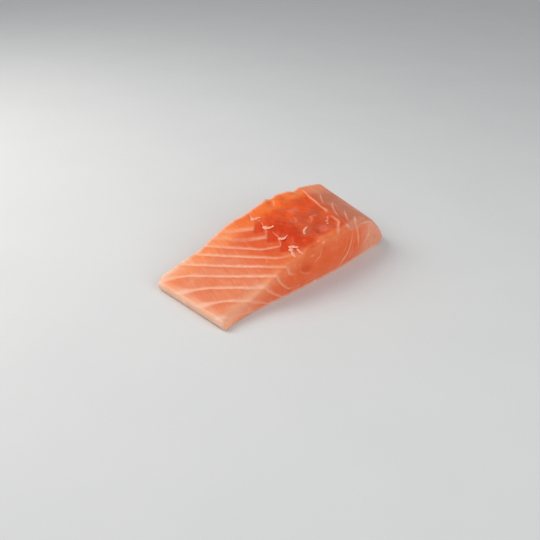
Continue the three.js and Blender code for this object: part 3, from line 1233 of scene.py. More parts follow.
@dataclass(frozen=True)
class FleshTones:
    """The colours of the flesh under its lines, zone by zone, and the single patches."""

    belly: Colour = srgb(235, 119, 76)
    belly_thin: Colour = srgb(237, 138, 99)
    belly_thick: Colour = srgb(230, 98, 54)
    # The far part of the belly is lighter: partly its tone, partly painted light from behind.
    belly_far_tone_and_light: Colour = srgb(250, 146, 92)
    belly_far_thick_tone_and_light: Colour = srgb(247, 122, 62)
    fat: Colour = srgb(251, 180, 142)
    # Pale fat, and painted highlight along the edges.
    pale_edge_and_highlight: Colour = srgb(254, 212, 186)
    band: Colour = srgb(243, 142, 92)
    channel: Colour = srgb(220, 74, 30)
    channel_dull: Colour = srgb(222, 90, 46)
    channel_orange: Colour = srgb(236, 92, 40)
    channel_glow: Colour = srgb(250, 122, 54)
    loin: Colour = srgb(212, 104, 68)
    loin_grey: Colour = srgb(200, 120, 92)
    # Partly a more orange tone, partly painted light on the far part of the back.
    loin_far_tone_and_light: Colour = srgb(246, 139, 94)
    nose: Colour = srgb(238, 163, 132)
    cut: Colour = srgb(240, 108, 60)
    cut_end: Colour = srgb(248, 160, 122)
    # Painted highlight along the upper edge of the knife cuts.
    cut_brow_highlight: Colour = srgb(250, 154, 112)
    cut_low: Colour = srgb(232, 152, 124)
    pocket: Colour = srgb(222, 70, 28)
    patches: tuple[Patch, ...] = (
        # The channel's deep red band, dull floor and bright far end, and spots of the belly and the back.
        Patch((68.0, 24.0), (6.0, 18.0), srgb(212, 66, 28), 0.75, -8.0),
        Patch((85.0, 13.0), (12.0, 6.0), srgb(203, 80, 48), 0.6),
        Patch((84.0, 50.0), (15.0, 5.5), srgb(250, 120, 54), 0.8),
        Patch((50.0, 5.5), (9.0, 5.0), srgb(238, 124, 74), 0.7, -35.0),
        Patch((104.0, 50.0), (7.0, 5.5), srgb(242, 142, 90), 0.65),
        Patch((93.0, 25.0), (10.0, 4.5), srgb(196, 77, 46), 0.5),
        Patch((124.0, 44.0), (7.0, 9.0), srgb(222, 143, 110), 0.5),
        Patch((97.5, 40.5), (5.5, 6.5), srgb(220, 80, 32), 0.85, -10.0),
        # Pinkish films, and painted shade in the hollow inside the fold.
        Patch((87.5, 34.5), (4.5, 2.8), srgb(226, 112, 84), 0.65, 20.0),
        Patch((85.4, 8.6), (2.6, 3.6), srgb(225, 116, 94), 0.75, -30.0),
        # Painted shade: the grey hollow inside the fold of film.
        Patch((77.0, 13.8), (2.6, 2.2), srgb(190, 104, 82), 0.8, 40.0),
        Patch((79.0, 27.0), (2.2, 3.2), srgb(222, 104, 76), 0.6, -20.0),
        # Light zones over the near edge, and the redder strip between two sheets of the back.
        Patch((80.0, 0.8), (15.0, 4.4), srgb(246, 132, 80), 0.8, 0.0, Side.NEAR_EDGE),
        Patch((106.0, 1.0), (13.0, 4.2), srgb(234, 152, 122), 0.75, 0.0, Side.NEAR_EDGE),
        Patch((97.6, 8.0), (2.0, 6.0), srgb(214, 90, 48), 0.7, -12.0),
        # The pale belly corner of the near cut, and the dark heart of both cuts.
        Patch((1.0, 2.0), (6.0, 7.0), srgb(255, 192, 152), 0.7, 0.0, Side.NEAR_CUT),
        Patch((59.6, 13.2), (4.6, 3.4), srgb(218, 84, 46), 0.6, 0.0, Side.NEAR_CUT),
        Patch((74.6, 13.2), (4.6, 3.4), srgb(218, 84, 46), 0.6, 0.0, Side.FAR_CUT),
    )
    ragged: ValueNoise = ValueNoise(31)
    ragged_size: Triple = (4.0, 5.0, 4.0)
    ragged_shifts: Pair = (0.0, 50.0)
    ragged_reach: float = 1.4
    thin: Ramp = Ramp(22.0, 22.0)
    thick: Ramp = Ramp(36.0, 14.0)
    far: Ramp = Ramp(36.0, 12.0)
    far_thick: Ramp = Ramp(44.0, 14.0)
    dull: Ramp = Ramp(70.0, 9.0)
    orange: Ramp = Ramp(26.0, 9.0)
    glow: Ramp = Ramp(39.0, 7.0)
    loin_start: Ramp = Ramp(-2.0, 5.0)
    grey: Ramp = Ramp(3.0, 9.0)
    loin_end: Ramp = Ramp(38.0, 10.0)
    thin_cut: Ramp = Ramp(0.0, 40.0)
    # How far down and how strongly the painted highlight reaches below the cuts' upper edge.
    brow_reach: float = 7.0
    brow_share: Ramp = Ramp(46.0, 12.0, 0.5, 0.22)
    low_height: Ramp = Ramp(0.0, 11.0)
    low_share: Ramp = Ramp(96.0, 16.0, 0.3, 0.65)
    strong: float = 0.85

    def tint(self, zones: Zones, points: SkinPoints) -> Array:
        """The colour at each point: the zones' and patches' colours, laid one over another.

        Args:
            zones: where each kind of flesh lies.
            points: the skin's points.

        Returns:
            One linear colour for each point.
        """
        x, _, z = points.place.T
        channel, cuts = zones.channel(points), points.on_cuts()
        far, loin = zones.far_part(points, self.far), zones.loin(points, self.loin_start)
        # Painted highlight: the cuts are paler just below their upper edge.
        brow = bell(points.top_gap, self.brow_reach) * self.brow_share.at(x)
        low = self.low_height.down(z) * self.low_share.at(x)
        pocket = points.on_top(zones.pocket(points))
        layers = [
            (self.thin.down(x), self.belly_thin),
            (self.thick.up(x), self.belly_thick),
            # Partly tone, partly painted light: the lighter far part of the belly.
            (far, self.belly_far_tone_and_light),
            (far * self.far_thick.up(x), self.belly_far_thick_tone_and_light),
            (channel, self.channel),
            (channel * self.dull.up(x), self.channel_dull),
            (channel * zones.far_part(points, self.orange), self.channel_orange),
            (channel * zones.far_part(points, self.glow), self.channel_glow),
            (loin, self.loin),
            (zones.loin(points, self.grey), self.loin_grey),
            # The far part of the back: partly its tone, partly painted light.
            (loin * zones.far_part(points, self.loin_end), self.loin_far_tone_and_light),
            (np.where(cuts, 1.0, 0.0), self.cut),
            (np.where(cuts, brow, 0.0), self.cut_brow_highlight),
            (np.where(cuts, low, 0.0), self.cut_low),
            (np.where(cuts, self.thin_cut.down(x), 0.0), self.cut_end),
            (zones.near_band(points), self.band),
            (self.strong * zones.nose(points), self.nose),
            *self.patch_layers(points),
            (self.strong * pocket, self.pocket),
            (zones.belly_fat(points), self.fat),
            # Pale edge lines that are partly painted highlight, and painted light on the rim wall.
            (zones.edge_lines_and_painted_light(points), self.pale_edge_and_highlight),
        ]
        total = np.tile(self.belly, (len(x), 1))
        for share, colour in layers:
            total = mix(total, np.array(colour), share[:, None])
        return total

    def patch_layers(self, points: SkinPoints) -> list[tuple[Array, Colour]]:
        """The share and the colour of each patch, with edges made ragged by moving the points.

        Args:
            points: the skin's points.

        Returns:
            The shares of each patch at the points, with its colour.
        """
        waves = [self.ragged.at(points.place + shift, self.ragged_size) for shift in self.ragged_shifts]
        stir = self.ragged_reach * np.column_stack(waves)
        layers = []
        for patch in self.patches:
            field = patch.field(points.spots(patch.side) + stir)
            layers.append((np.where(points.on(patch.side), field, 0.0), patch.colour))
        return layers


@dataclass(frozen=True)
class FilletSkin:
    """The portion's closed skin, laid over a box-shaped lattice of points.

    Every section is a Coons patch between its underside, its upper line, the rim and the undercut:
    the blend of opposite lines, less the blend of the four corners. The sections follow each other
    from the near cut to the far cut, and the edges between faces are rounded.
    """

    form: FilletForm = FilletForm()
    edges: EdgeRounding = EdgeRounding()
    seams: SeamLines = SeamLines()
    zones: Zones = Zones()
    tones: FleshTones = FleshTones()
    steps: tuple[int, int, int] = (270, 110, 44)
    pulls: Triple = (0.25, 0.3, 0.6)
    slope_probe: float = 0.004
    lump_noise: ValueNoise = ValueNoise(5)
    lumps: tuple[Unevenness, ...] = (
        Unevenness(0.10, (9.0, 12.0, 7.0), 14.0),
        Unevenness(0.05, (2.6, 4.2, 2.6), 14.0, 17.0),
    )
    fibre_noise: ValueNoise = ValueNoise(8)
    fibres: Unevenness = Unevenness(0.035, (1.2, 7.0, 2.0), -14.5)
    cord_heights: Pair = (0.2, 0.07)
    loose_height: Ramp = Ramp(0.0, 2.0)
    rim_calm: float = 0.25
    belly_calm: Ramp = Ramp(0.0, 12.0, 0.35, 1.0)
    edge_calm_end: Ramp = Ramp(0.5, 5.0)
    belly_end: Ramp = Ramp(2.0, 4.0)
    streaks: Pair = (0.5, 0.2)
    cut_streaks: float = 0.3
    map_side: float = 172.0
    map_gap: float = 2.0
    map_left: float = 4.0
    map_low: float = 1.0
    map_tall: float = 31.0
    map_walls: Pair = (156.0, 164.0)
    slope_length: float = 27.0

    def build(self, material: Material, shift: Vector) -> Piece:
        """Makes the skin.

        Args:
            material: the flesh finish.
            shift: from the corner frame to the frame of the whole, in millimetres.

        Returns:
            The skin's object, with its point values and its map.
        """
        index, faces, sides = self.lattice()
        points = self.points(index)
        normals = point_normals(points.place, faces)
        pale = self.seams.field(self.seams.pale, points)
        points.place = points.place + normals * self.fine_relief(points, pale)[:, None]
        piece = new_piece("fillet_flesh", (points.place + np.array(shift)) * MM, faces, material)
        self.dress(piece.data, points, pale)
        self.unwrap(piece.data, points, faces, sides)
        return piece

    def lattice(self) -> tuple[Array, Array, Array]:
        """Numbers the points of the six sides, with shared edges, and joins them into quads.

        Returns:
            The lattice index of each point, the faces, and the side that each face is on.
        """
        sizes = tuple(count + 1 for count in self.steps)
        keys, sides = [], []
        ends = [(axis, end) for axis in range(3) for end in (0, self.steps[axis])]
        for side, (axis, end) in enumerate(ends):
            spans = [np.arange(size) for size in sizes]
            spans[axis] = [end]
            grid = np.meshgrid(*spans, indexing="ij")
            key = np.ravel_multi_index(grid, sizes).squeeze(axis)
            corners = [key[:-1, :-1], key[1:, :-1], key[1:, 1:], key[:-1, 1:]]
            quads = np.stack(corners, axis=-1).reshape(-1, 4)
            outward = (end > 0) == (axis != 1)
            keys.append(quads if outward else quads[:, ::-1])
            sides.append(np.full(len(quads), side))
        known, faces = np.unique(np.vstack(keys), return_inverse=True)
        index = np.stack(np.unravel_index(known, sizes), axis=1)
        return index, faces.reshape(-1, 4), np.concatenate(sides)

    def way(self, index: Array, axis: int) -> Array:
        """The lattice coordinate along one axis, which is exactly 1 at the last step."""
        steps = index[:, axis]
        return np.where(steps == self.steps[axis], 1.0, graded(self.steps[axis], self.pulls[axis])[steps])

    def points(self, index: Array) -> SkinPoints:
        """Places the lattice points.

        Args:
            index: the lattice index of each point.

        Returns:
            The points, with rounded edges.
        """
        a, b, c = (self.way(index, axis) for axis in range(3))
        form = self.form
        top, low = form.top_line(a, b), form.bottom_line(a, b)
        rim, back = form.rim_line(c, b), form.under_line(c, b)
        start, end = np.zeros_like(a), np.ones_like(a)
        lower = form.bottom_line(start, b), form.bottom_line(end, b)
        upper = form.top_line(start, b), form.top_line(end, b)
        section = []
        for axis in range(2):
            below = mix(lower[0][axis], lower[1][axis], a)
            above = mix(upper[0][axis], upper[1][axis], a)
            lines = mix(low[axis], top[axis], c) + mix(rim[axis], back[axis], a)
            section.append(lines - mix(below, above, c))
        x, z = section
        near, far = form.cuts_at(x)
        flat = np.stack([x, mix(near, far, b), z], axis=1)
        gaps = [np.hypot(line[0] - x, line[1] - z) for line in (top, rim, back)]
        drop = np.where(c == 1.0, 0.0, np.clip(1.0 - z / np.maximum(top[1], 1.0), 0.0, 1.0))
        past_edge = np.where(b == 0.0, z - top[1], flat[:, 1] - near)
        return SkinPoints(a, b, c, flat, self.rounded(flat, a, b, gaps), drop, past_edge, gaps[0], gaps[2])

    def rounded(self, flat: Array, a: Array, b: Array, gaps: Sequence[Array]) -> Array:
        """Rounds the edges between the faces.

        For each face that a point is close to, u is 1 on that face and falls to 0 at the edge radius
        below it. The point moves in from that face by radius * u * (1 - 1 / |u|), so a point that is
        close to one face only stays.

        Args:
            flat: the points with sharp edges.
            a: their lattice coordinate from the rim to the back.
            b: their lattice coordinate from the near cut to the far cut.
            gaps: their distances from the upper line, the rim and the undercut.

        Returns:
            The rounded points.
        """
        x, y, z = flat.T
        near, far = self.form.cuts_at(x)
        top_gap, rim_gap, back_gap = gaps
        edges, round_rim = self.edges, self.form.rim_round
        ahead = self.form.top_line(np.minimum(a + self.slope_probe, 1.0), b, relief=False)
        behind = self.form.top_line(np.maximum(a - self.slope_probe, 0.0), b, relief=False)
        slope = unit(np.stack([ahead[0] - behind[0], ahead[1] - behind[1]], axis=1))
        top_in = np.stack([slope[:, 1], np.zeros_like(a), -slope[:, 0]], axis=1)
        rim_in, along, up = (np.tile(axis, (len(a), 1)) for axis in np.eye(3))
        full_rim = round_rim + self.form.rim_bulge * edges.bulge_share
        rim_radius = mix(edges.rim_corner.at(b), full_rim, smooth(1.0 - top_gap / edges.rim_fade))
        near_edge = edges.near_top(x)
        upper = mix(near_edge, edges.far_top, smooth((y - near) / edges.cut_fade))
        top_radius = mix(round_rim, upper, smooth(rim_gap / edges.wall_fade))
        high = smooth(1.0 - top_gap / edges.high_fade)
        near_radius = mix(edges.cut_bottom, near_edge, high)
        far_radius = mix(edges.cut_bottom, edges.far_top, high)
        far_radius = mix(edges.rim_corner.far, far_radius, smooth(rim_gap / edges.far_rim_fade))
        faces = (
            (rim_in, rim_gap, rim_radius),
            (-rim_in, back_gap, edges.back_tip),
            (top_in, top_gap, top_radius),
            (up, z, edges.bottom),
            (along, y - near, near_radius),
            (-along, far - y, far_radius),
        )
        shares = [np.clip(1.0 - gap / radius, 0.0, 1.0) for _, gap, radius in faces]
        size = np.maximum(np.sqrt(sum(share**2 for share in shares)), 1.0)
        place = flat.copy()
        for (inward, _, radius), share in zip(faces, shares):
            place += inward * (radius * share * (1.0 - 1.0 / size))[:, None]
        return place

    def fine_relief(self, points: SkinPoints, pale: Array) -> Array:
        """How far each point stands out: soft lumps, drawn-out fibres, and the cords of the seams.

        Args:
            points: the skin's points.
            pale: how strongly pale lines mark them.

        Returns:
            One distance for each point.
        """
        loose = self.loose_height.up(points.place[:, 2]) * np.where(points.c == 0.0, 0.0, 1.0)
        lumps = sum(layer.at(self.lump_noise, points.place) for layer in self.lumps)
        fibres = self.fibres.at(self.fibre_noise, points.place) * self.calm(points)
        cords = np.where(points.c == 1.0, *self.cord_heights) * pale
        return (lumps + fibres + cords) * loose

    def calm(self, points: SkinPoints) -> Array:
        """1 over most of the skin, less towards the rim and the near edge, where no fibres show.

        Args:
            points: the skin's points.

        Returns:
            One share for each point.
        """
        rim = np.where(points.a == 0.0, self.rim_calm, self.belly_calm.at(points.place[:, 0]))
        return rim * points.on_top(self.edge_calm_end.up(points.past_edge), 1.0)

    def dress(self, mesh: Mesh, points: SkinPoints, pale: Array) -> None:
        """Stores what the finish reads at each point.

        Args:
            mesh: the skin's mesh.
            points: the skin's points.
            pale: how strongly pale lines mark them.
        """
        x, y, _ = points.place.T
        blocks, zones = self.form.blocks, self.zones
        channel = zones.channel(points)
        streaks = np.where(points.on_cuts(), self.cut_streaks, mix(*self.streaks, channel))
        values = {
            "tint": self.tones.tint(zones, points),
            "phase": blocks.phase(x, y, points.drop),
            "spacing": blocks.spacing(x, y, points.drop),
            "stripes": zones.stripes(points),
            "line_width": zones.line_width(points),
            "pale_lines": pale,
            # Painted shade of the creases and of the gaps under the tissue flaps.
            "painted_shade_lines": self.seams.field(self.seams.dark, points),
            "belly": points.on_top(self.belly_end.down(x - blocks.ends(y))),
            "wet": channel,
            "streaks": streaks * self.calm(points),
        }
        for name, value in values.items():
            point_value(mesh, name, value)

    def unwrap(self, mesh: Mesh, points: SkinPoints, faces: Array, sides: Array) -> None:
        """Lays the six sides flat beside each other on one map, all to the same scale.

        The top and the underside lie as they are seen along Z, with the slope of the back unrolled
        by its arc length. The cuts lie as seen along Y, and the rim and the undercut along X.

        Args:
            mesh: the mesh that gets the map.
            points: its points.
            faces: its faces.
            sides: the side that each face is on.
        """
        x, y, z = points.flat.T
        down = np.maximum(points.a - self.form.top_part, 0.0) / (1.0 - self.form.top_part)
        unrolled = np.minimum(x, self.form.shoulder_x.at(points.b)) + self.slope_length * down
        rows = [self.form.width + 2.0 * self.map_gap + count * self.map_tall for count in range(3)]
        layouts = [
            (z + self.map_walls[0], y + rows[0]),
            (z + self.map_walls[1], y + rows[0]),
            (x + self.map_left, z + rows[0]),
            (x + self.map_left, z + rows[1]),
            (x + self.map_left, y + rows[2]),
            (unrolled + self.map_left, y + self.map_low),
        ]
        flat = np.zeros((*faces.shape, 2))
        for side, (across, up) in enumerate(layouts):
            chosen = faces[sides == side]
            flat[sides == side] = np.stack([across[chosen], up[chosen]], axis=-1) / self.map_side
        layer = mesh.uv_layers.new(name="OFBake")
        layer.data.foreach_set("uv", flat.reshape(-1).astype(np.float32))


@dataclass(frozen=True)
class Strand:
    """A thin shred of tissue on the upper surface: a flat oval carried along a smooth line.

    `width` is half of the greatest width, and `flatness` the height as a share of the width. The
    tone runs from 0 for pink film to 1 for white tissue.
    """

    points: tuple[Pair, ...]
    width: float = 0.5
    tone: float = 1.0
    lift: float = 0.05
    end_lift: float = 0.0
    thin_start: float = 0.8
    thin_end: float = 0.8
    flatness: float = 0.3


@dataclass(frozen=True)
class TornTissue:
    """The shreds of white tissue that the pulled rib bones left: knots, flaps and joining threads."""

    form: FilletForm = FilletForm()
    edges: EdgeRounding = EdgeRounding()
    around: int = 10
    step: float = 0.22
    least: float = 0.04
    roundness: float = 3.0
    rise: Ramp = Ramp(0.45, 0.55)
    swelling: Ramp = Ramp(0.0, 0.4)
    thinning: Ramp = Ramp(0.6, 0.4)
    wobble: ValueNoise = ValueNoise(21)
    wobble_size: Triple = (0.9, 0.9, 0.9)
    girth: float = 1.15
    girth_wobble: float = 0.55
    strands: tuple[Strand, ...] = (
        # First knot, at the far end of the rib line: its tail, its flap and the film below it.
        Strand(
            ((66.6, 51.6), (66.3, 50.8), (64.7, 48.2), (63.5, 46.1)),
            0.6, 0.45, thin_start=0.5, thin_end=1.0,
        ),
        Strand(((65.0, 47.8), (64.1, 46.7), (63.0, 45.5)), 1.2, 1.0, 0.15),
        Strand(((64.6, 45.6), (65.9, 45.3), (67.0, 44.4), (67.8, 43.2)), 0.7, 0.9, 0.1, 0.15),
        Strand(
            ((64.4, 45.4), (65.0, 44.2), (65.4, 41.4), (65.2, 39.3), (63.9, 37.0), (62.8, 34.7)),
            0.5, 0.22,
        ),
        # Second knot: its flap, its way down into the belly, and its film.
        Strand(((64.1, 35.6), (62.9, 34.5), (61.7, 33.0)), 1.3, 1.0, 0.15),
        Strand(((62.8, 34.0), (64.4, 32.2), (66.1, 30.6)), 0.85, 1.0, 0.1, 0.2),
        Strand(((61.7, 32.7), (59.3, 30.1), (56.1, 26.9)), 0.6, 0.2, 0.0, thin_end=0.4),
        Strand(((63.3, 29.3), (62.9, 26.8), (62.4, 24.3), (60.8, 20.7)), 0.5, 0.25),
        # Third knot, with a thin tail.
        Strand(((61.4, 21.6), (60.8, 20.6), (60.0, 19.5)), 0.9, 0.9, 0.1),
        Strand(((60.8, 20.4), (61.8, 19.0), (63.0, 17.9)), 1.0, 1.0, 0.1, 0.15, 0.5, 1.0),
        Strand(((62.6, 18.4), (63.4, 18.3), (64.6, 18.1)), 0.4, 0.6, 0.15, 0.1),
        Strand(((59.8, 19.5), (58.2, 17.4), (56.2, 15.3)), 0.55, 0.1, 0.0, thin_end=0.4),
        # Fourth knot: a thick shred whose limb bends down to the near cut.
        Strand(((59.2, 12.4), (60.0, 10.2), (60.4, 8.4), (61.1, 6.2)), 1.15, 1.0, 0.15, thin_start=0.5),
        Strand(((59.6, 10.6), (58.2, 9.3), (56.2, 7.2)), 1.1, 0.95, 0.1, thin_end=0.5),
        Strand(((60.6, 7.0), (59.9, 5.4), (59.2, 2.9), (58.9, 0.4)), 0.85, 0.75),
        Strand(((57.6, 9.0), (56.6, 6.9), (55.3, 4.6), (54.3, 2.4)), 0.8, 0.75, 0.0, thin_end=0.5),
        # A fold of film in the channel, and beads of it beside the spine line.
        Strand(((78.6, 15.2), (78.4, 15.7), (76.6, 16.0), (74.8, 14.7), (73.0, 12.4)), 0.65, 0.8, 0.1),
        Strand(((96.6, 15.8), (95.8, 15.2)), 0.55, 0.8),
        Strand(((93.6, 13.7), (92.8, 13.0)), 0.6, 0.8),
        Strand(((91.6, 11.2), (90.8, 10.4)), 0.55, 0.8),
    )

    def build(self, material: Material, shift: Vector) -> Piece:
        """Joins the tubes of all strands into one mesh.

        Args:
            material: the tissue finish.
            shift: from the corner frame to the frame of the whole, in millimetres.

        Returns:
            The tissue's object.
        """
        points, faces, tones, start = [], [], [], 0
        for strand in self.strands:
            tube_points, tube_faces = self.tube(strand)
            points.append(tube_points)
            faces.append(tube_faces + start)
            tones.append(np.full(len(tube_points), strand.tone))
            start += len(tube_points)
        places = (np.vstack(points) + np.array(shift)) * MM
        piece = new_piece("rib_line_tissue", places, np.vstack(faces), material)
        point_value(piece.data, "tone", np.concatenate(tones))
        return piece

    def tube(self, strand: Strand) -> tuple[Array, Array]:
        """The closed tube of one strand.

        A ring at arc length s is centre(s) + side(s) * width(s) * cos t + up * height(s) * sin t.
        Both radii follow the square root of a half sine at the ends, so the ends are round.

        Args:
            strand: the strand.

        Returns:
            The tube's points and its faces.
        """
        line = Trace(strand.points).path(self.step)
        x, y = line.T
        way = np.linspace(0.0, 1.0, len(line))
        near, _ = self.form.cuts_at(x)
        heights = self.form.surface(x, y) - self.edges.near_drop(x, y - near)
        lift = strand.lift + strand.end_lift * self.rise.up(way)
        centre = np.column_stack([line, heights + lift])
        course = unit(np.gradient(centre, axis=0))
        across = unit(np.cross(course, [0.0, 0.0, 1.0]))
        over = np.cross(across, course)
        ends = np.sqrt(np.clip(np.sin(math.pi * way) * self.roundness, 0.0, 1.0))
        body = mix(strand.thin_start, 1.0, self.swelling.up(way))
        body = body * mix(1.0, strand.thin_end, self.thinning.up(way))
        rough = self.girth + self.girth_wobble * self.wobble.at(centre, self.wobble_size)
        radius = np.maximum(ends * body * rough, self.least)
        turn = np.linspace(0.0, 2.0 * math.pi, self.around, endpoint=False)
        sideways = np.outer(strand.width * radius, np.cos(turn))[..., None]
        upwards = np.outer(strand.flatness * strand.width * radius, np.sin(turn))[..., None]
        rings = centre[:, None, :] + across[:, None, :] * sideways + over[:, None, :] * upwards
        points = np.vstack([rings.reshape(-1, 3), centre[:1], centre[-1:]])
        return points, self.tube_faces(len(line))

    def tube_faces(self, rings: int) -> Array:
        """The quads of a tube, whose last two points are the poles of its ends.

        At an end two edges of the ring share a quad with the pole, so each end closes.

        Args:
            rings: the number of rings.

        Returns:
            The faces, one row each.
        """
        count = rings * self.around
        grid = np.arange(count).reshape(rings, self.around)
        after = np.roll(grid, -1, axis=1)
        walls = np.stack([grid[:-1], grid[1:], after[1:], after[:-1]], axis=-1).reshape(-1, 4)
        first, last = (np.full(self.around // 2, count + pole) for pole in range(2))
        start = np.column_stack([grid[0, 1::2], grid[0, 0::2], first, after[0, 1::2]])
        stop = np.column_stack([grid[-1, 0::2], grid[-1, 1::2], after[-1, 1::2], last])
        return np.vstack([walls, start, stop])


# ---------------------------------------------------------------- finishes


@dataclass(frozen=True)
class Grain:
    """Noise with grains of a size in millimetres, turned about Z by degrees."""

    size: Triple
    detail: float = 2.0
    turn: float = 0.0
    rough: float = 0.5


@dataclass(frozen=True)
class Ease:
    """An eased change of a value, from low..high to start..stop."""

    low: float
    high: float
    start: float = 0.0
    stop: float = 1.0


class Graph:
    """A material's node tree, with short calls for the nodes that the finishes use."""

    def __init__(self, name: str) -> None:
        """Starts a material with its shader.

        Args:
            name: the material's name.
        """
        self.material = bpy.data.materials.new(name)
        self.material.use_nodes = True
        self.tree = self.material.node_tree
        self.shader = self.tree.nodes["Principled BSDF"]

    def node(self, kind: str, **settings: object) -> bpy.types.Node:
        """Adds a node and sets its properties.

        Args:
            kind: the node's type.
            settings: its properties.

        Returns:
            The node.
        """
        made = self.tree.nodes.new(kind)
        for name, value in settings.items():
            setattr(made, name, value)
        return made

    def feed(self, socket: Socket, value: object) -> None:
        """Links a socket to another node's output, or sets its value.

        Args:
            socket: the input.
            value: an output, a number or a colour.
        """
        if isinstance(value, Socket):
            self.tree.links.new(value, socket)
        elif isinstance(value, tuple) and len(value) == 3 and socket.type == "RGBA":
            socket.default_value = (*value, 1.0)
        else:
            socket.default_value = value

    def value(self, name: str) -> Socket:
        """The number that the mesh stores at each point under a name."""
        return self.node("ShaderNodeAttribute", attribute_name=name).outputs["Fac"]

    def colour(self, name: str) -> Socket:
        """The colour that the mesh stores at each point under a name."""
        return self.node("ShaderNodeAttribute", attribute_name=name).outputs["Color"]

    def math(self, operation: str, first: object, second: object = 0.0, clamp: bool = False) -> Socket:
        """One arithmetic step.

        Args:
            operation: its kind.
            first: the first value.
            second: the second value.
            clamp: whether the result is held from 0 to 1.

        Returns:
            The result.
        """
        made = self.node("ShaderNodeMath", operation=operation, use_clamp=clamp)
        self.feed(made.inputs[0], first)
        self.feed(made.inputs[1], second)
        return made.outputs[0]

    def times(self, first: object, second: object) -> Socket:
        """The product of two values."""
        return self.math("MULTIPLY", first, second)

    def remap(self, value: object, ease: Ease) -> Socket:
        """Eases a value, held at the ends.

        Args:
            value: the value.
            ease: the change.

        Returns:
            The new value.
        """
        made = self.node("ShaderNodeMapRange", interpolation_type="SMOOTHSTEP")
        settings = (value, ease.low, ease.high, ease.start, ease.stop)
        for socket, setting in zip(made.inputs, settings):
            self.feed(socket, setting)
        return made.outputs[0]

    def mixed(self, kind: str, share: object, first: object, second: object) -> Socket:
        """Two colours, joined by a kind of mixing to the extent of a share.

        Args:
            kind: the way of mixing.
            share: the share.
            first: the first colour.
            second: the second colour.

        Returns:
            The colour.
        """
        made = self.node("ShaderNodeMix", data_type="RGBA", blend_type=kind)
        for place, value in ((0, share), (6, first), (7, second)):
            self.feed(made.inputs[place], value)
        return made.outputs[2]

    def blend(self, share: object, first: object, second: object) -> Socket:
        """A colour at a share of the way between two colours."""
        return self.mixed("MIX", share, first, second)

    def scaled(self, share: object, colour: object, factor: Colour) -> Socket:
        """A colour, multiplied by a factor to the extent of a share."""
        return self.mixed("MULTIPLY", share, colour, factor)

    def grain(self, grain: Grain) -> Socket:
        """Noise from 0 to 1 in the space of the object.

        Args:
            grain: the noise's sizes.

        Returns:
            The noise.
        """
        place = self.node("ShaderNodeTexCoord").outputs["Object"]
        mapping = self.node("ShaderNodeMapping", vector_type="TEXTURE")
        self.feed(mapping.inputs["Vector"], place)
        mapping.inputs["Rotation"].default_value = (0.0, 0.0, math.radians(grain.turn))
        mapping.inputs["Scale"].default_value = tuple(part * MM for part in grain.size)
        made = self.node("ShaderNodeTexNoise")
        self.feed(made.inputs["Vector"], mapping.outputs[0])
        for name, value in (("Scale", 1.0), ("Detail", grain.detail), ("Roughness", grain.rough)):
            made.inputs[name].default_value = value
        return made.outputs["Fac"]

    def bump(self, height: Socket, depth: float) -> Socket:
        """A normal that is tilted by a height field of a depth in millimetres.

        Args:
            height: the height field.
            depth: its depth.

        Returns:
            The normal.
        """
        made = self.node("ShaderNodeBump")
        made.inputs["Strength"].default_value = 1.0
        made.inputs["Distance"].default_value = depth * MM
        self.feed(made.inputs["Height"], height)
        return made.outputs["Normal"]

    def finish(self, **sockets: object) -> Material:
        """Sets the shader's inputs, whose names have underscores for spaces."""
        for name, value in sockets.items():
            self.feed(self.shader.inputs[name.replace("_", " ")], value)
        return self.material


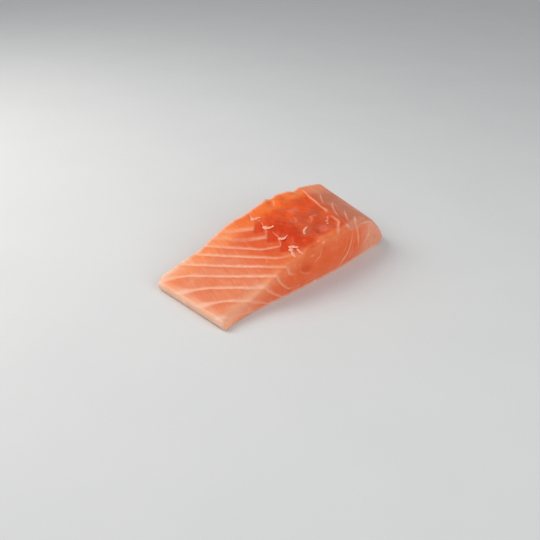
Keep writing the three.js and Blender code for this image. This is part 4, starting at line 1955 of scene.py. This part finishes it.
@dataclass(frozen=True)
class FleshFinish:
    """Raw salmon: the stored colour of the flesh, with fibres, pale sheets of tissue and a wet gloss."""

    seam: Colour = srgb(253, 187, 155)
    film: Colour = srgb(242, 120, 86)
    lighten: Colour = (1.08, 1.55, 1.9)
    deepen: Colour = (0.92, 0.70, 0.52)
    # How painted shade darkens the flesh, beside the belly sheets and in the creases.
    painted_shade_tint: Colour = (0.86, 0.55, 0.40)
    soft: Grain = Grain((11.0, 15.0, 9.0), 3.0, -14.5)
    patch: Grain = Grain((4.5, 8.0, 5.0), 3.0, 15.5)
    fibre: Grain = Grain((1.25, 9.0, 2.0), 2.0, -14.5)
    fine: Grain = Grain((0.35, 1.4, 0.5), 2.0, -14.5)
    torn: Grain = Grain((3.2, 5.0, 3.2), 4.0, 35.5, 0.6)
    drops: Grain = Grain((2.2, 2.2, 2.2), 3.0)
    wavering: Grain = Grain((5.0, 5.0, 5.0), 3.0)
    swelling: Grain = Grain((6.0, 6.0, 6.0), 2.0)
    fading: Grain = Grain((3.0, 3.0, 3.0), 3.0)
    shade_depth: float = 0.18
    painted_shade_depth: float = 0.9
    seam_breaks: Ease = Ease(0.3, 0.7, 0.75, 1.1)
    seam_cover: Ease = Ease(0.02, 1.05, 0.0, 0.9)
    gloss: Ease = Ease(0.0, 1.0, 0.46, 0.37)
    gloss_patches: float = 0.08
    drop_edges: Ease = Ease(0.58, 0.7)
    drop_gloss: Ease = Ease(0.0, 1.0, 0.05, 0.16)
    fibre_height: float = 0.6
    fine_height: float = 0.4
    bump_depth: float = 0.09
    # How far and how much each belly block deepens towards the next sheet: partly the flesh's tone, partly
    # painted shade of the block's step.
    block_end: Ease = Ease(0.5, 0.85)
    block_depth: float = 0.3
    mottle_share: float = 0.5
    mottle_deep: Ease = Ease(0.5, 0.34, 0.0, 0.4)
    mottle_light: Ease = Ease(0.52, 0.68, 0.0, 0.4)
    torn_deep: Ease = Ease(0.5, 0.36)
    torn_depth: float = 0.7
    torn_film: Ease = Ease(0.53, 0.66)
    film_share: float = 0.28
    fibre_deep: Ease = Ease(0.5, 0.33)
    fibre_depth: float = 0.5
    fibre_light: Ease = Ease(0.5, 0.68)
    fibre_lightness: float = 0.6
    waver: float = 0.9
    width_change: Ease = Ease(0.3, 0.7, 1.15, 0.85)
    far_side: Ease = Ease(2.7, -0.1)
    near_side: Ease = Ease(-1.8, -0.1)
    line_fading: Ease = Ease(0.3, 0.65, 0.62, 1.0)
    shade_place: float = 1.45
    # Where and how sharply the painted shade lies on the near side of each sheet.
    shade_edge: Ease = Ease(0.9, 0.1)

    def material(self) -> Material:
        """Builds the finish.

        Returns:
            The material.
        """
        g = Graph("salmon_flesh")
        soft, patch, fibre = g.grain(self.soft), g.grain(self.patch), g.grain(self.fibre)
        colour = self.flesh(g, soft, patch, fibre)
        line, shade = self.stripe(g)
        # Painted shade on the near side of each belly sheet, then the sheet's white line.
        colour = g.scaled(g.times(shade, self.shade_depth), colour, self.painted_shade_tint)
        colour = g.blend(line, colour, self.seam)
        # Painted shade in the creases and under the tissue flaps.
        colour = g.scaled(g.times(g.value("painted_shade_lines"), self.painted_shade_depth), colour, self.painted_shade_tint)
        seams = g.times(g.value("pale_lines"), g.remap(patch, self.seam_breaks))
        colour = g.blend(g.remap(seams, self.seam_cover), colour, self.seam)
        wet = g.value("wet")
        rough = g.math("SUBTRACT", g.remap(wet, self.gloss), g.times(patch, self.gloss_patches))
        fine = g.grain(self.fine)
        height = g.math("ADD", g.times(fibre, self.fibre_height), g.times(fine, self.fine_height))
        return g.finish(
            Base_Color=colour,
            Roughness=rough,
            Specular_IOR_Level=0.07,
            Coat_Weight=g.times(g.remap(g.grain(self.drops), self.drop_edges), g.remap(wet, self.drop_gloss)),
            Coat_Roughness=0.16,
            Subsurface_Weight=0.12,
            Subsurface_Radius=(1.0, 0.32, 0.18),
            Subsurface_Scale=1.4 * MM,
            Normal=g.bump(height, self.bump_depth),
        )

    def flesh(self, g: Graph, soft: Socket, patch: Socket, fibre: Socket) -> Socket:
        """The colour of the flesh under the lines: the stored tint, mottled, with pale and deep fibres.

        Args:
            g: the material's nodes.
            soft: wide noise.
            patch: narrow noise.
            fibre: noise drawn out along the fibres.

        Returns:
            The colour.
        """
        # Each belly block deepens towards the next sheet: partly the flesh's tone, partly painted shade of
        # its step.
        fraction = g.math("FRACT", g.value("phase"))
        low = g.times(g.remap(fraction, self.block_end), g.value("belly"))
        colour = g.scaled(g.times(low, self.block_depth), g.colour("tint"), self.deepen)
        mottle = g.math("ADD", g.times(soft, self.mottle_share), g.times(patch, self.mottle_share))
        colour = g.scaled(g.remap(mottle, self.mottle_deep), colour, self.deepen)
        colour = g.scaled(g.remap(mottle, self.mottle_light), colour, self.lighten)
        torn, wet = g.grain(self.torn), g.value("wet")
        deep = g.times(g.remap(torn, self.torn_deep), g.times(wet, self.torn_depth))
        colour = g.scaled(deep, colour, self.deepen)
        film = g.times(g.remap(torn, self.torn_film), g.times(wet, self.film_share))
        colour = g.blend(film, colour, self.film)
        streaks = g.value("streaks")
        deep = g.times(g.remap(fibre, self.fibre_deep), streaks)
        pale = g.times(g.remap(fibre, self.fibre_light), streaks)
        colour = g.scaled(g.times(deep, self.fibre_depth), colour, self.deepen)
        return g.scaled(g.times(pale, self.fibre_lightness), colour, self.lighten)

    def stripe(self, g: Graph) -> tuple[Socket, Socket]:
        """The white line of each belly sheet and a reddish line of painted shade on its near side.

        The distance from the nearest sheet is the phase's distance from a whole number times the
        spacing of the sheets, wavered by noise. The line is soft on its far side.

        Args:
            g: the material's nodes.

        Returns:
            The share of white and the share of painted shade.
        """
        waver = g.times(g.math("SUBTRACT", g.grain(self.wavering), 0.5), self.waver)
        phase = g.value("phase")
        gap = g.times(g.math("SUBTRACT", phase, g.math("ROUND", phase)), g.value("spacing"))
        gap = g.math("ADD", gap, waver)
        width = g.times(g.value("line_width"), g.remap(g.grain(self.swelling), self.width_change))
        ratio = g.math("DIVIDE", gap, width)
        far_side, near_side = g.remap(ratio, self.far_side), g.remap(ratio, self.near_side)
        line = g.times(g.times(far_side, near_side), g.value("stripes"))
        line = g.times(line, g.remap(g.grain(self.fading), self.line_fading))
        beside = g.math("ABSOLUTE", g.math("ADD", ratio, self.shade_place))
        shade = g.times(g.remap(beside, self.shade_edge), g.value("stripes"))
        return line, shade


@dataclass(frozen=True)
class TissueFinish:
    """Torn white tissue: pinkish, slightly see-through at its edges, wet."""

    white: Colour = srgb(255, 186, 156)
    pink: Colour = srgb(236, 104, 70)
    spots: Grain = Grain((1.4, 1.4, 1.0), 3.0)
    spot_change: Ease = Ease(0.4, 0.68, 0.12, -0.22)
    gloss: Ease = Ease(0.0, 1.0, 0.42, 0.3)
    fine: Grain = Grain((0.5, 0.5, 0.5))
    bump_depth: float = 0.06

    def material(self) -> Material:
        """Builds the finish.

        Returns:
            The material.
        """
        g = Graph("torn_tissue")
        spots = g.remap(g.grain(self.spots), self.spot_change)
        tone = g.math("ADD", g.value("tone"), spots, clamp=True)
        return g.finish(
            Base_Color=g.blend(tone, self.pink, self.white),
            Roughness=g.remap(tone, self.gloss),
            Specular_IOR_Level=0.2,
            Coat_Weight=0.14,
            Coat_Roughness=0.2,
            Subsurface_Weight=0.25,
            Subsurface_Radius=(1.0, 0.5, 0.35),
            Subsurface_Scale=0.8 * MM,
            Normal=g.bump(g.grain(self.fine), self.bump_depth),
        )


@dataclass(frozen=True)
class FloorFinish:
    """A pale matt studio floor."""

    pale: Colour = srgb(226, 226, 224)
    shade: Colour = srgb(220, 220, 219)
    clouds: Grain = Grain((60.0, 60.0, 60.0), 3.0)

    def material(self) -> Material:
        """Builds the finish."""
        g = Graph("studio_floor")
        return g.finish(
            Base_Color=g.blend(g.grain(self.clouds), self.pale, self.shade),
            Roughness=0.85,
            Specular_IOR_Level=0.2,
        )


# ---------------------------------------------------------------- the studio


@dataclass(frozen=True)
class Lamp:
    """A square soft light that looks at the middle of the portion. Places and sizes are metres."""

    name: str
    place: Triple
    size: float
    power: float
    tint: Colour = (1.0, 1.0, 1.0)
    target: Triple = (0.0, 0.0, 0.012)

    def build(self) -> Piece:
        """Makes the light.

        Returns:
            The light's object.
        """
        data = bpy.data.lights.new(self.name, "AREA")
        data.shape, data.size, data.energy, data.color = "SQUARE", self.size, self.power, self.tint
        lamp = bpy.data.objects.new(self.name, data)
        lamp.location = self.place
        aim = Vector(self.target) - Vector(self.place)
        lamp.rotation_euler = aim.to_track_quat("-Z", "Y").to_euler()
        bpy.context.scene.collection.objects.link(lamp)
        return lamp


@dataclass(frozen=True)
class Studio:
    """The camera, the pale floor, the soft lights and the even surroundings.

    The camera's place, lens and sensor are millimetres and its turn degrees. The rest is metres.
    """

    camera_place: Triple = (-248.619, -223.401, 206.920)
    camera_turn: Triple = (57.3019, -2.2581, -45.2391)
    lens: float = 43.0772
    sensor: float = 36.0
    clip: Pair = (0.01, 50.0)
    floor_half: float = 4.0
    sky: Colour = (0.93, 0.96, 1.0)
    sky_strength: float = 0.42
    lamps: tuple[Lamp, ...] = field(
        default_factory=lambda: (
            Lamp("key_light", (-0.27, 0.37, 0.45), 0.42, 2.5, (1.0, 0.985, 0.96)),
            Lamp("fill_light", (0.05, -0.75, 0.45), 0.6, 2.6, (0.98, 0.99, 1.0)),
        )
    )

    def build(self, floor_finish: FloorFinish) -> None:
        """Sets the studio up around the portion.

        Args:
            floor_finish: the floor's finish.
        """
        scene = bpy.context.scene
        scene.view_settings.view_transform = "Standard"
        data = bpy.data.cameras.new("camera")
        data.lens, data.sensor_width = self.lens, self.sensor
        data.clip_start, data.clip_end = self.clip
        camera = bpy.data.objects.new("camera", data)
        camera.location = Vector(self.camera_place) * MM
        camera.rotation_euler = Euler([math.radians(angle) for angle in self.camera_turn])
        scene.collection.objects.link(camera)
        scene.camera = camera
        world = bpy.data.worlds.new("surroundings")
        world.use_nodes = True
        background = world.node_tree.nodes["Background"]
        background.inputs["Color"].default_value = (*self.sky, 1.0)
        background.inputs["Strength"].default_value = self.sky_strength
        scene.world = world
        for lamp in self.lamps:
            lamp.build()
        square = np.array([[-1.0, -1.0, 0.0], [1.0, -1.0, 0.0], [1.0, 1.0, 0.0], [-1.0, 1.0, 0.0]])
        floor = new_piece("floor", self.floor_half * square, np.arange(4)[None], floor_finish.material())


@dataclass(frozen=True)
class Portion:
    """The whole portion: the flesh and its torn tissue.

    `corner_inset` is the place of the corner frame's origin, from the corner of the solid's box.
    """

    skin: FilletSkin = FilletSkin()
    tissue: TornTissue = TornTissue()
    flesh_finish: FleshFinish = FleshFinish()
    tissue_finish: TissueFinish = TissueFinish()
    corner_inset: Pair = (3.0164, 1.8991)

    def build(self) -> list[Piece]:
        """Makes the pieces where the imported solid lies, and ties them to it.

        Returns:
            The pieces.
        """
        low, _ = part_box(CAD_NODE)
        shift = Vector((low.x / MM + self.corner_inset[0], low.y / MM + self.corner_inset[1], 0.0))
        flesh = self.skin.build(self.flesh_finish.material(), shift)
        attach(flesh, BODY)
        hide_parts(CAD_NODE)
        tissue = self.tissue.build(self.tissue_finish.material(), shift)
        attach(tissue, BODY)
        return [flesh, tissue]


def main() -> None:
    """Builds the portion and its studio."""
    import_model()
    Studio().build(FloorFinish())
    for piece in Portion().build():
        LOG.info("%s: %d faces", piece.name, len(piece.data.polygons))


if __name__ == "__main__":
    logging.basicConfig(level=logging.INFO, format="%(name)s: %(message)s")
    main()
